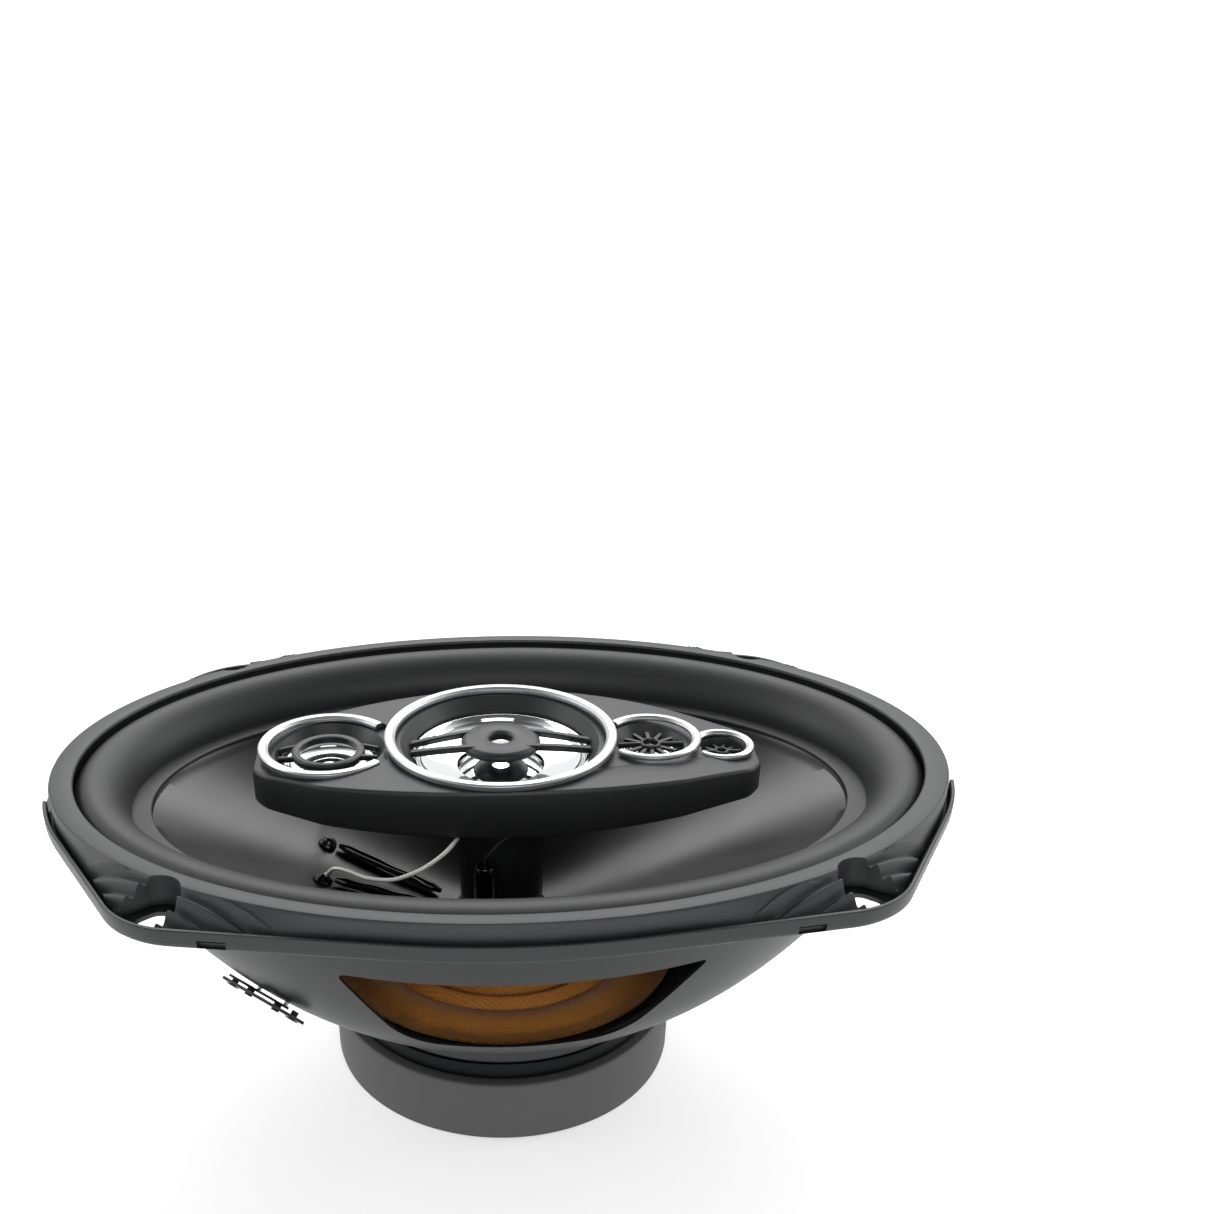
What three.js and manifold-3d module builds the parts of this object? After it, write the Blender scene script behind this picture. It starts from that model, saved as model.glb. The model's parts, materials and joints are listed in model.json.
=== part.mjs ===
// A 6x9 inch coaxial car speaker: an oval woofer with four small drivers in a bridge above
// its cone. Millimetres, +Z up. The speaker stands on the rear face of its magnet, so the
// origin is the middle of that face. +X runs along the oval and +Z is the way it plays.
import * as THREE from "three";
import { mergeVertices } from "three/addons/utils/BufferGeometryUtils.js";
import Module from "manifold-3d";

const wasm = await Module();
wasm.setup();

// Oval frame
const FRAME_A = 118.3; // half length of the frame's oval
const FRAME_B = 83.1; // half width of the frame's oval
const EAR_X = 72; // middle of each corner's rounding
const EAR_Y = 50.5;
const EAR_R = 22.8;
const HOLE_X = 80.1; // middle of each screw hole
const HOLE_Y = 64.2;
const HOLE_W = 6.6;
const HOLE_L = 9;
const FLANGE_Z = 83.7; // top of the flange, which the trim ring sits on
const SHEET = 1.1; // thickness of the pressed steel
const LIP_Z = 87.3; // top of the turned-up edge
const BOWL_A = 108.4; // flange's inner edge, where the bowl starts
const BOWL_B = 75;
const BOWL_FOOT_R = 50; // round foot of the bowl
const BOWL_FOOT_Z = 33;
const PLATE_R = 46.4; // flat bottom, riveted to the top plate
const PLATE_Z = 24.3;
const WINDOW = { wide: 45, narrow: 40, foot: 25, topZ: 68.5, footZ: 43, round: 6 };

// Motor
const RIVET_X = 23; // rivets between the basket and the top plate
const RIVET_R = 2.2;
const BOOT_R = 48.2;
const BOOT_Z = 18.8;
const MAGNET_R = 44.6;
const MAGNET_BORE = 22;
const POLE_R = 12;
const TOP_PLATE_Z = 19.1;
const GAP_R = 14.6; // bore of the top plate
const FORMER_R = 12.5; // inside of the voice coil former
const FORMER_WALL = 0.5;

// Moving cone, its surround and spider
const CONE_A = 97; // rim of the cone under the surround's flat strip
const CONE_B = 62;
const CONE_SEEN_A = 92; // where the strip ends and the cone shows
const CONE_SEEN_B = 57;
const CONE_RIM_Z = 79.4;
const NECK_R = 13.4;
const NECK_Z = 43;
const CONE_WALL = 0.8;
const CONE_CURVE = 0.94; // under 1 lets the cone belly a little
const ROLL_A = 112.6; // foot of the surround's roll, under the trim ring
const ROLL_B = 79;
const ROLL_CREST_Z = 90.6; // above the middle of the roll
const SPIDER_R = 48.8;
const SPIDER_Z = 34;

// Trim ring
const TRIM_A = 116.2;
const TRIM_B = 81;
const TRIM_Z = 91.8;
const TRIM_INNER_A = 110;
const TRIM_INNER_B = 76.6;

// Bridge and its four drivers
const POST_R = 11.4;
const POST_TOP_Z = 72;
const DISH_R = 19;
const DISH_Z = 80;
const POD_TOP_Z = 96;
const POD_FOOT_Z = 83.1;
const POD = {
  bulge: 30.5, // half width in the middle
  shoulderX: 46, // where the long arcs end
  shoulderY: 21.3,
  left: -64.2,
  right: 67.6,
  tip: 7.5, // half width of the flat tips
  corner: 11.8, // half width where a tip's chamfers end
  chamfer: 3, // how far those corners stand back from the tip
  leftTopZ: 92.2,
  rightTopZ: 90.6,
  tipFootZ: 82.6,
};
// One row for each small driver: where it sits, its ring and its funnel
const DRIVERS = [
  { name: "midrange", x: 0, ringR: 30.3, ringW: 2.8, ringZ: 96.1, ringH: 1.6, bore: 23.6,
    funnel: 27.3, dome: 11, domeZ: 87.6, gapAngle: 0, facing: 0, beside: "" },
  { name: "tweeter", x: -45.1, ringR: 18.06, ringW: 2.7, ringZ: 94.2, ringH: 1.4, bore: 12.6,
    funnel: 15.2, dome: 6.4, domeZ: 88.2, gapAngle: 39, facing: 0, beside: "midrange" },
  { name: "small_tweeter", x: 39.4, ringR: 13.1, ringW: 2.35, ringZ: 94.6, ringH: 1.2, bore: 7.6,
    funnel: 10.6, dome: 4.6, domeZ: 89.4, gapAngle: 43, facing: 180, beside: "midrange" },
  { name: "tiny_tweeter", x: 58.4, ringR: 8.4, ringW: 2.1, ringZ: 91.9, ringH: 1.1, bore: 5,
    funnel: 6.1, dome: 3.4, domeZ: 87, gapAngle: 39, facing: 180, beside: "small_tweeter" },
];

const GAP = 0.3; // clearance between pieces that touch
const OVAL_STEPS = 48;
const ROUND_STEPS = 28;
const SMALL_STEPS = 16;

const STEEL = { color: 0x2c2e2e, roughness: 0.45, metalness: 0.3 };
const PLATED = { color: 0xb9bbbd, roughness: 0.35, metalness: 1 };
const SATIN_SILVER = { color: 0xd4d6d8, roughness: 0.3, metalness: 1 };
const CHROME = { color: 0xe8eaec, roughness: 0.06, metalness: 1 };
const BLACK_PLASTIC = { color: 0x26282a, roughness: 0.5, metalness: 0 };
const GREY_PLASTIC = { color: 0x4a4c4e, roughness: 0.55, metalness: 0 };
const RUBBER = { color: 0x1d1e1f, roughness: 0.6, metalness: 0 };
const GLOSS_CONE = { color: 0x101112, roughness: 0.15, metalness: 0 };
const AMBER_CLOTH = { color: 0xa8641e, roughness: 0.9, metalness: 0 };
const COPPER = { color: 0xb5673a, roughness: 0.35, metalness: 1 };
const FERRITE = { color: 0x3a3a3c, roughness: 0.8, metalness: 0 };
const FIBRE = { color: 0x3b2c20, roughness: 0.8, metalness: 0 };
const BRAID = { color: 0xc6c8c9, roughness: 0.5, metalness: 1 };

const group = new THREE.Group();

// ---------------------------------------------------------------- helpers

// The closed solid of a geometry, with its shared points merged and its faces pointing out
function solid(geometry) {
  const bare = geometry.clone();
  bare.deleteAttribute("normal");
  bare.deleteAttribute("uv");
  const merged = mergeVertices(bare, 1e-4);
  const points = merged.attributes.position;
  const corner = (i) => new THREE.Vector3().fromBufferAttribute(points, i);
  const triangles = [];
  let volume = 0;
  for (let i = 0; i < merged.index.count; i += 3) {
    const [a, b, c] = [0, 1, 2].map((k) => merged.index.getX(i + k));
    if (a === b || b === c || c === a) continue;
    triangles.push([a, b, c]);
    volume += corner(a).dot(corner(b).cross(corner(c)));
  }
  const facingOut = volume > 0 ? triangles : triangles.map(([a, b, c]) => [a, c, b]);
  const mesh = new wasm.Mesh({
    numProp: 3,
    vertProperties: new Float32Array(points.array),
    triVerts: new Uint32Array(facingOut.flat()),
  });
  return new wasm.Manifold(mesh);
}

function add(name, shape, finish) {
  const mesh = shape.getMesh();
  const geometry = new THREE.BufferGeometry();
  geometry.setAttribute("position", new THREE.BufferAttribute(mesh.vertProperties, 3));
  geometry.setIndex(new THREE.BufferAttribute(mesh.triVerts, 1));
  geometry.computeVertexNormals();
  const piece = new THREE.Mesh(geometry, new THREE.MeshStandardMaterial(finish));
  piece.name = name;
  group.add(piece);
}

// A round piece about the Z axis from [radius, height] points
function turned(points, steps = ROUND_STEPS) {
  const profile = points.map(([r, z]) => new THREE.Vector2(r, z));
  return solid(new THREE.LatheGeometry(profile, steps).rotateX(Math.PI / 2));
}

// A washer or tube from its two radii and two heights
function tube(inner, outer, low, high, steps = ROUND_STEPS) {
  return turned([[inner, low], [outer, low], [outer, high], [inner, high], [inner, low]], steps);
}

function rod(radius, low, high, steps = SMALL_STEPS) {
  return turned([[0, low], [radius, low], [radius, high], [0, high]], steps);
}

// A ring round the speaker: each profile point is [outline, z], and an outline gives the plan
// point that faces a direction
function loft(profile, steps = OVAL_STEPS) {
  const closed = [...profile, profile[0]];
  const geometry = new THREE.LatheGeometry(closed.map((p, i) => new THREE.Vector2(i + 1, 0)), steps);
  const position = geometry.attributes.position;
  for (let i = 0; i <= steps; i++) {
    const angle = (2 * Math.PI * (i % steps)) / steps;
    closed.forEach(([outline, z], j) => {
      const point = outline(angle);
      position.setXYZ(i * closed.length + j, point.x, point.y, z);
    });
  }
  return solid(geometry);
}

// The point of an ellipse whose outward normal has this angle
function oval(a, b = a) {
  return (angle) => {
    const c = Math.cos(angle);
    const s = Math.sin(angle);
    const reach = Math.hypot(a * c, b * s);
    return new THREE.Vector2((a * a * c) / reach, (b * b * s) / reach);
  };
}

// The frame's outline, an oval with four rounded ears, moved outwards by an offset
function frameOutline(offset) {
  return (angle) => {
    const normal = new THREE.Vector2(Math.cos(angle), Math.sin(angle));
    const candidates = [oval(FRAME_A, FRAME_B)(angle)];
    for (const [sx, sy] of corners()) {
      candidates.push(new THREE.Vector2(sx * EAR_X, sy * EAR_Y).addScaledVector(normal, EAR_R));
    }
    candidates.sort((p, q) => q.dot(normal) - p.dot(normal));
    return candidates[0].addScaledVector(normal, offset);
  };
}

function corners() {
  return [[1, 1], [-1, 1], [-1, -1], [1, -1]];
}

// An outline drawn in plan, raised from low to high
function raised(shape, low, high, curveSegments = 12) {
  const settings = { depth: high - low, bevelEnabled: false, curveSegments };
  return solid(new THREE.ExtrudeGeometry(shape, settings).translate(0, 0, low));
}

// An outline drawn in the XZ plane, run along Y from one side to the other
function run(shape, from, to, curveSegments = 12) {
  const settings = { depth: to - from, bevelEnabled: false, curveSegments };
  const geometry = new THREE.ExtrudeGeometry(shape, settings).rotateX(Math.PI / 2);
  return solid(geometry.translate(0, to, 0));
}

function box(cx, cy, cz, sx, sy, sz, turn = 0) {
  return solid(new THREE.BoxGeometry(sx, sy, sz).rotateZ(turn).translate(cx, cy, cz));
}

// A round wire along points
function wire(points, diameter, steps, sides = 8) {
  const section = new THREE.Shape();
  section.absarc(0, 0, diameter / 2, 0, 2 * Math.PI);
  const path = new THREE.CatmullRomCurve3(points.map((p) => new THREE.Vector3(...p)));
  const settings = { steps, extrudePath: path, curveSegments: sides / 2, bevelEnabled: false };
  return solid(new THREE.ExtrudeGeometry(section, settings));
}

function unite(first, ...others) {
  return others.reduce((whole, next) => whole.add(next), first);
}

// ---------------------------------------------------------------- frame

// The bowl swells out quickly from its round foot, then runs up to the flange
function bowlSection(rise, wall) {
  const swell = Math.sqrt(rise);
  const a = BOWL_FOOT_R + (BOWL_A - BOWL_FOOT_R) * swell;
  const b = BOWL_FOOT_R + (BOWL_B - BOWL_FOOT_R) * swell;
  const z = BOWL_FOOT_Z + (FLANGE_Z - SHEET - BOWL_FOOT_Z) * rise;
  return [oval(a - wall, b - wall), z];
}

// A window is wide on one side and narrow on the other, and the far one is turned half round
function windowShape(side) {
  const { wide, narrow, foot, topZ, footZ, round } = WINDOW;
  const right = side < 0 ? wide : narrow;
  const left = side < 0 ? -narrow : -wide;
  const shape = new THREE.Shape();
  shape.moveTo(-foot + round, footZ);
  shape.lineTo(foot - round, footZ);
  shape.quadraticCurveTo(foot + round * 0.3, footZ, foot + round, footZ + round);
  shape.lineTo(right - round * 0.4, topZ - round * 0.7);
  shape.quadraticCurveTo(right, topZ, right - round, topZ);
  shape.lineTo(left + round, topZ);
  shape.quadraticCurveTo(left, topZ, left + round * 0.4, topZ - round * 0.7);
  shape.lineTo(-foot - round, footZ + round);
  shape.quadraticCurveTo(-foot - round * 0.3, footZ, -foot + round, footZ);
  return shape;
}

// A screw hole: a slot along the corner's diagonal
function holeShape() {
  const half = HOLE_W / 2;
  const reach = (HOLE_L - HOLE_W) / 2;
  const shape = new THREE.Shape();
  shape.absarc(reach, 0, half, -Math.PI / 2, Math.PI / 2);
  shape.absarc(-reach, 0, half, Math.PI / 2, (3 * Math.PI) / 2);
  return shape;
}

function atCorner(shape, sx, sy, low, high, curveSegments) {
  const angle = Math.atan2(sy * HOLE_Y, sx * HOLE_X);
  const settings = { depth: high - low, bevelEnabled: false, curveSegments };
  const geometry = new THREE.ExtrudeGeometry(shape, settings);
  return solid(geometry.rotateZ(angle).translate(sx * HOLE_X, sy * HOLE_Y, low));
}

// The terminals sit low on the bowl, at the left of the near side
const TERMINAL_FACING = THREE.MathUtils.degToRad(228);
const TERMINAL_LEAN = THREE.MathUtils.degToRad(39); // the wall's own slope there
const TERMINAL_Z = 46.5;

// Moves a geometry from the terminals' own axes (out of the wall, along it, up it) to its place
function atTerminals(geometry) {
  const rise = (TERMINAL_Z - BOWL_FOOT_Z) / (FLANGE_Z - SHEET - BOWL_FOOT_Z);
  const wall = bowlSection(rise, 0)[0](TERMINAL_FACING);
  return geometry.rotateY(TERMINAL_LEAN).rotateZ(TERMINAL_FACING).translate(wall.x, wall.y, TERMINAL_Z);
}

function terminalBox(out, along, up, depth, width, height) {
  return solid(atTerminals(new THREE.BoxGeometry(depth, width, height).translate(out, along, up)));
}

function terminalPoint(out, along, up) {
  const point = new THREE.BufferGeometry().setFromPoints([new THREE.Vector3(out, along, up)]);
  return new THREE.Vector3().fromBufferAttribute(atTerminals(point).attributes.position, 0);
}

function basket() {
  const inside = [0.22, 0];
  const outside = [0, 0.06, 0.25, 0.6, 1];
  let shape = loft([
    [frameOutline(-SHEET), LIP_Z],
    [frameOutline(-SHEET), FLANGE_Z],
    [oval(BOWL_A, BOWL_B), FLANGE_Z],
    bowlSection(0.6, SHEET),
    ...inside.map((rise) => bowlSection(rise, SHEET)),
    [oval(PLATE_R - SHEET - 1.2), BOWL_FOOT_Z - SHEET * 0.4],
    [oval(PLATE_R - SHEET - 1.6), PLATE_Z + SHEET],
    [oval(GAP_R + 4), PLATE_Z + SHEET],
    [oval(GAP_R + 4), PLATE_Z],
    [oval(PLATE_R - 0.6), PLATE_Z],
    [oval(PLATE_R), BOWL_FOOT_Z - SHEET * 1.6],
    ...outside.map((rise) => bowlSection(rise, 0)),
    [frameOutline(0), FLANGE_Z - SHEET],
    [frameOutline(0), LIP_Z],
  ]);
  shape = shape.subtract(run(windowShape(-1), -90, -40, 5)).subtract(run(windowShape(1), 40, 90, 5));
  for (const [sx, sy] of corners()) {
    const slot = box(sx * 66.3, sy * 79.2, FLANGE_Z + 0.25, 6.5, 12, 2.3, -sx * sy * 0.16);
    shape = shape.subtract(atCorner(holeShape(), sx, sy, FLANGE_Z - 3, FLANGE_Z + 2, 8));
    shape = shape.subtract(slot);
  }
  for (const side of [-1, 1]) {
    shape = shape.subtract(box(side * FRAME_A, 0, LIP_Z, 8, 26, 2 * (LIP_Z - FLANGE_Z) - GAP));
  }
  for (const [x, y] of rivetPlaces()) {
    shape = shape.subtract(rod(RIVET_R + GAP, PLATE_Z - 2, PLATE_Z + 4, 12).translate([x, y, 0]));
  }
  return shape.subtract(terminalBox(0, 0, 0, 8, 18, 7));
}

// Four rivets hold the basket to the top plate
function rivetPlaces() {
  return corners().map(([sx, sy]) => [sx * RIVET_X, sy * RIVET_X]);
}

function rivet([x, y]) {
  const head = PLATE_Z + SHEET + GAP;
  return turned([
    [0, TOP_PLATE_Z + 1.4], [RIVET_R, TOP_PLATE_Z + 1.4], [RIVET_R, head], [RIVET_R + 1.5, head],
    [RIVET_R + 1.3, head + 0.8], [0, head + 1.4],
  ], 12).translate([x, y, 0]);
}

function topPlate() {
  let plate = tube(GAP_R, PLATE_R - 0.6, TOP_PLATE_Z, PLATE_Z - GAP);
  for (const [x, y] of rivetPlaces()) {
    plate = plate.subtract(rod(RIVET_R + GAP, TOP_PLATE_Z + 1, PLATE_Z + 1, 12).translate([x, y, 0]));
  }
  return plate;
}

// The terminal board lies just outside the bowl over its cut-out, held by two rivets
function terminalBoard() {
  const board = terminalBox(2.4, 0, 0, 0.8, 26, 8);
  const hole = (along) => terminalBox(2.4, along, 0, 3, 2.6, 2.6);
  return [-11, -5, 5, 11].reduce((cut, along) => cut.subtract(hole(along)), board);
}

// A push-on blade lies along the wall behind the board, with a pin through the board
function terminalBlade(along, width) {
  return terminalBox(1.1, along, 2.5, 0.6, width, 9).add(terminalBox(2.1, along, 0, 2.4, 1.6, 1.6));
}

// A terminal rivet runs from the board back to the bowl's wall
function terminalRivet(along) {
  return terminalBox(2, along, 0, 2.4, 1.8, 1.8).add(terminalBox(3.5, along, 0, 0.8, 3.8, 3.8));
}

// The trim ring: flat on top, with sloping fans that reach out over the frame's ears and a
// round-ended notch over each screw hole
function trimRing() {
  const fit = frameOutline(-SHEET - 0.9);
  const foot = FLANGE_Z + GAP;
  let shape = loft([
    [oval(TRIM_A - 0.4, TRIM_B - 0.4), TRIM_Z],
    [oval(TRIM_A, TRIM_B), TRIM_Z - 0.5],
    [fit, LIP_Z - 1.6],
    [fit, foot],
    [oval(TRIM_INNER_A + 4.4, TRIM_INNER_B + 3.4), foot],
    [oval(TRIM_INNER_A + 4.4, TRIM_INNER_B + 3.4), TRIM_Z - 1.3],
    [oval(TRIM_INNER_A + 0.4, TRIM_INNER_B + 0.4), TRIM_Z - 1.3],
    [oval(TRIM_INNER_A, TRIM_INNER_B), TRIM_Z - 0.7],
    [oval(TRIM_INNER_A + 0.4, TRIM_INNER_B + 0.4), TRIM_Z],
  ]);
  const notch = new THREE.Shape();
  notch.absarc(-1.8, 0, 5.6, Math.PI / 2, (3 * Math.PI) / 2);
  notch.lineTo(22, -7.5);
  notch.lineTo(22, 7.5);
  for (const [sx, sy] of corners()) {
    shape = shape.subtract(atCorner(notch, sx, sy, FLANGE_Z - 2, TRIM_Z + 4, 10));
  }
  return shape;
}

// ---------------------------------------------------------------- motor

const SCREW_R = 2.5;
const SCREW_HEAD_R = 4.6;
const SCREW_HEAD_Z = 4.9;
const SCREW_TOP_Z = 33;

function backPlate() {
  const passage = turned([
    [0, 0], [SCREW_HEAD_R + GAP, 0], [SCREW_HEAD_R + GAP, SCREW_HEAD_Z + GAP],
    [SCREW_R + GAP, SCREW_HEAD_Z + GAP], [SCREW_R + GAP, SCREW_TOP_Z], [0, SCREW_TOP_Z],
  ], SMALL_STEPS);
  return turned([
    [0, 2.2], [MAGNET_R - 3, 2.2], [MAGNET_R - 2, 3], [MAGNET_R - 2, 6.6], [POLE_R, 6.6],
    [POLE_R, PLATE_Z - 0.6], [POLE_R - 0.6, PLATE_Z], [0, PLATE_Z],
  ]).subtract(passage);
}

// The screw that pulls the centre post down on the pole
function postScrew() {
  return turned([
    [0, 2.4], [SCREW_HEAD_R, 2.4], [SCREW_HEAD_R, SCREW_HEAD_Z], [SCREW_R, SCREW_HEAD_Z],
    [SCREW_R, SCREW_TOP_Z], [0, SCREW_TOP_Z],
  ], SMALL_STEPS);
}

function centrePost() {
  const socket = rod(SCREW_R + GAP, PLATE_Z - 2, SCREW_TOP_Z + GAP);
  return rod(POST_R, PLATE_Z + GAP, POST_TOP_Z, ROUND_STEPS).subtract(socket);
}

function boot() {
  return turned([
    [0, 0], [BOOT_R - 1.2, 0], [BOOT_R, 1.2], [BOOT_R, BOOT_Z - 0.8], [BOOT_R - 0.8, BOOT_Z],
    [MAGNET_R + GAP, BOOT_Z], [MAGNET_R + GAP, 1.9], [0, 1.9],
  ]);
}

// ---------------------------------------------------------------- moving parts

function cone() {
  const top = CONE_RIM_Z;
  const drop = top - 0.9 - NECK_Z;
  const wall = (share, shift) => {
    const curve = share ** CONE_CURVE;
    const a = NECK_R + (CONE_SEEN_A - NECK_R) * curve;
    const b = NECK_R + (CONE_SEEN_B - NECK_R) * curve;
    return [oval(a, b), NECK_Z + drop * share - shift];
  };
  return loft([
    [oval(CONE_A, CONE_B), top],
    [oval(CONE_SEEN_A + 0.6, CONE_SEEN_B + 0.6), top],
    ...[1, 0.4, 0].map((share) => wall(share, 0)),
    ...[0, 0.4, 1].map((share) => wall(share, CONE_WALL * 1.2)),
    [oval(CONE_A, CONE_B), top - CONE_WALL],
  ]);
}

// A place on the cone's upper face: its point, the way down the cone and the way out of it
function onCone(share, angle) {
  const at = (s, a) => {
    const curve = s ** CONE_CURVE;
    const reach = (seen) => NECK_R + (seen - NECK_R) * curve;
    const plan = oval(reach(CONE_SEEN_A), reach(CONE_SEEN_B))(a);
    return new THREE.Vector3(plan.x, plan.y, NECK_Z + (CONE_RIM_Z - 0.9 - NECK_Z) * s);
  };
  const point = at(share, angle);
  const along = at(share + 0.01, angle).sub(point).normalize();
  const around = at(share, angle + 0.01).sub(point).normalize();
  return { point, out: along.clone().cross(around).normalize() };
}

// The eyelets sit either side of the long axis, where the leads pass through the cone
const EYELET_SHARE = 0.45;
const EYELET_ANGLE = THREE.MathUtils.degToRad(156);

function eyelet(side) {
  const { point, out } = onCone(EYELET_SHARE, side * EYELET_ANGLE);
  const turn = new THREE.Quaternion().setFromUnitVectors(new THREE.Vector3(0, 0, 1), out);
  const seat = point.clone().addScaledVector(out, GAP);
  const blob = new THREE.LatheGeometry([
    new THREE.Vector2(0, 0), new THREE.Vector2(2.6, 0), new THREE.Vector2(2.4, 1.2),
    new THREE.Vector2(1.2, 2.4), new THREE.Vector2(0, 2.4),
  ], 14).rotateX(Math.PI / 2);
  return solid(blob.applyQuaternion(turn).translate(seat.x, seat.y, seat.z));
}

// A bead of black glue covers each lead's tail from its eyelet down to the neck
function glueBead(side) {
  const top = onCone(EYELET_SHARE - 0.055, side * EYELET_ANGLE);
  const foot = onCone(0.05, side * THREE.MathUtils.degToRad(163));
  const lift = 1.5;
  const from = top.point.addScaledVector(top.out, lift);
  const to = foot.point.addScaledVector(foot.out, lift);
  const path = new THREE.LineCurve3(from, to);
  const section = new THREE.Shape();
  section.absarc(0, 0, 1.15, 0, 2 * Math.PI);
  const settings = { steps: 1, extrudePath: path, curveSegments: 4, bevelEnabled: false };
  return solid(new THREE.ExtrudeGeometry(section, settings));
}

// The braided leads from the bridge to the eyelets, hanging clear of the cone
const FRONT_LEAD = [
  [-10.5, -23.5, 82.4], [-11.6, -27.6, 82.2], [-14.5, -32, 80.9], [-18.6, -33.5, 78.2],
  [-22.8, -34.5, 76.3], [-28.2, -35.3, 75], [-34.4, -34, 74.9], [-39, -31.5, 75.5],
  [-42.2, -28.5, 74.7], [-44.1, -25, 71.9], [-45.4, -21, 68.3], [-46.3, -15.5, 64.6],
  [-47, -11.6, 62.4],
];
const FAR_LEAD = [
  [-11, 23.5, 82.4], [-13, 27.4, 82], [-17.5, 30.5, 79.6], [-24, 33, 77.6], [-30.5, 33, 77],
  [-36.5, 30, 76.6], [-41, 25.5, 74.8], [-44, 20.5, 71.4], [-45.8, 15.6, 67.2],
  [-46.6, 12, 63.2],
];
const LEAD_D = 1.2;

// The leads behind the cone, from the terminal board to the back of each eyelet
function rearLead(side) {
  const board = terminalPoint(1.1, side * 5, -2.6);
  const edge = terminalPoint(-6, side * 5, -2.6);
  const { point, out } = onCone(EYELET_SHARE, -side * EYELET_ANGLE);
  const end = point.clone().addScaledVector(out, -2.4);
  const droop = end.clone().addScaledVector(out, -5).add(new THREE.Vector3(-1, 0, -2.5));
  const middle = edge.clone().lerp(droop, 0.5).add(new THREE.Vector3(0, 0, -1));
  return wire([board, edge, middle, droop, end].map((p) => p.toArray()), LEAD_D, 10);
}

// The surround: a foot on the flange, a half roll that leans inwards, and a flat strip glued
// on the cone's rim
function surround() {
  const skin = 0.9;
  const foot = FLANGE_Z + GAP;
  const midA = (ROLL_A + CONE_A) / 2;
  const midB = (ROLL_B + CONE_B) / 2;
  const strip = CONE_RIM_Z + GAP + skin;
  const tilt = (foot + skin - strip) / 2;
  const base = strip + tilt;
  const arc = (thin) => {
    const points = [];
    const turns = 5;
    for (let i = 0; i <= turns; i++) {
      const c = Math.cos((Math.PI * i) / turns);
      const s = Math.sin((Math.PI * i) / turns);
      const halfA = (ROLL_A - CONE_A) / 2 - thin;
      const halfB = (ROLL_B - CONE_B) / 2 - thin;
      const outline = oval(midA + halfA * c, midB + halfB * c);
      points.push([outline, base + tilt * c + (ROLL_CREST_Z - base - thin) * s]);
    }
    return points;
  };
  return loft([
    [oval(ROLL_A + 1.4, ROLL_B + 0.6), foot],
    [oval(ROLL_A + 1.4, ROLL_B + 0.6), foot + skin],
    ...arc(0),
    [oval(CONE_SEEN_A, CONE_SEEN_B), strip],
    [oval(CONE_SEEN_A, CONE_SEEN_B), CONE_RIM_Z + GAP],
    [oval(CONE_A, CONE_B), CONE_RIM_Z + GAP],
    ...arc(skin).reverse().slice(1, -1),
    [oval(ROLL_A - 0.6, ROLL_B - 0.6), foot],
  ]);
}

// The spider: a corrugated cloth disc between the former and the basket's step
function spider() {
  const cloth = 0.7;
  const inner = FORMER_R + FORMER_WALL + GAP;
  const waves = 4;
  const wavy = inner + 6;
  const pitch = (SPIDER_R - 4 - wavy) / waves;
  const line = [[inner, SPIDER_Z], [wavy, SPIDER_Z]];
  for (let i = 0; i < waves; i++) {
    line.push([wavy + pitch * (i + 0.25), SPIDER_Z + 1.5]);
    line.push([wavy + pitch * (i + 0.75), SPIDER_Z - 1.5]);
  }
  line.push([SPIDER_R - 4, SPIDER_Z], [SPIDER_R, SPIDER_Z]);
  const under = line.map(([r, z]) => [r, z - cloth]).reverse();
  return turned([...line, ...under, line[0]], ROUND_STEPS);
}

// ---------------------------------------------------------------- bridge

// Plan of the bridge, drawn inwards by an inset
function podPlan(inset) {
  const { bulge, shoulderX, shoulderY, left, right, tip, corner, chamfer } = POD;
  const high = bulge - inset;
  const shoulder = shoulderY - inset;
  const radius = (shoulderX ** 2 + (high - shoulder) ** 2) / (2 * (high - shoulder));
  const sweep = Math.asin(shoulderX / radius);
  const shape = new THREE.Shape();
  const face = tip - inset * 0.3;
  const side = corner - inset * 0.8;
  const back = chamfer + inset * 0.7;
  shape.moveTo(right - back, -side);
  shape.lineTo(right - inset, -face);
  shape.lineTo(right - inset, face);
  shape.lineTo(right - back, side);
  shape.absarc(0, high - radius, radius, Math.PI / 2 - sweep, Math.PI / 2 + sweep);
  shape.lineTo(left + back, side);
  shape.lineTo(left + inset, face);
  shape.lineTo(left + inset, -face);
  shape.lineTo(left + back, -side);
  shape.absarc(0, radius - high, radius, -Math.PI / 2 - sweep, -Math.PI / 2 + sweep);
  return shape;
}

// Blocks for cutting the bridge reach past it below, above and to both sides
const UNDER = 60;
const OVER = 99;
const BESIDE = 40;
const PLAN_STEPS = 6;
const SIDE_STEPS = 5;

// Side view of the bridge: its top and its foot both fall away towards the tips
function podSide(skin) {
  const { left, right, leftTopZ, rightTopZ, tipFootZ } = POD;
  const shape = new THREE.Shape();
  const top = POD_TOP_Z - skin;
  shape.moveTo(left - 1, tipFootZ - skin * 4);
  shape.lineTo(left - 1, leftTopZ - skin);
  shape.quadraticCurveTo(left / 2, top, 0, top);
  shape.quadraticCurveTo(right / 2, top, right + 1, rightTopZ - skin);
  shape.lineTo(right + 1, tipFootZ - skin * 4);
  shape.quadraticCurveTo(right / 2, POD_FOOT_Z - skin * 4, 0, POD_FOOT_Z - skin * 4);
  shape.quadraticCurveTo(left / 2, POD_FOOT_Z - skin * 4, left - 1, tipFootZ - skin * 4);
  return shape;
}

const POD_SKIN = 1.8;
const FUNNEL_DEPTH = 3.4; // from a ring down to where its funnel meets the bore

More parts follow.
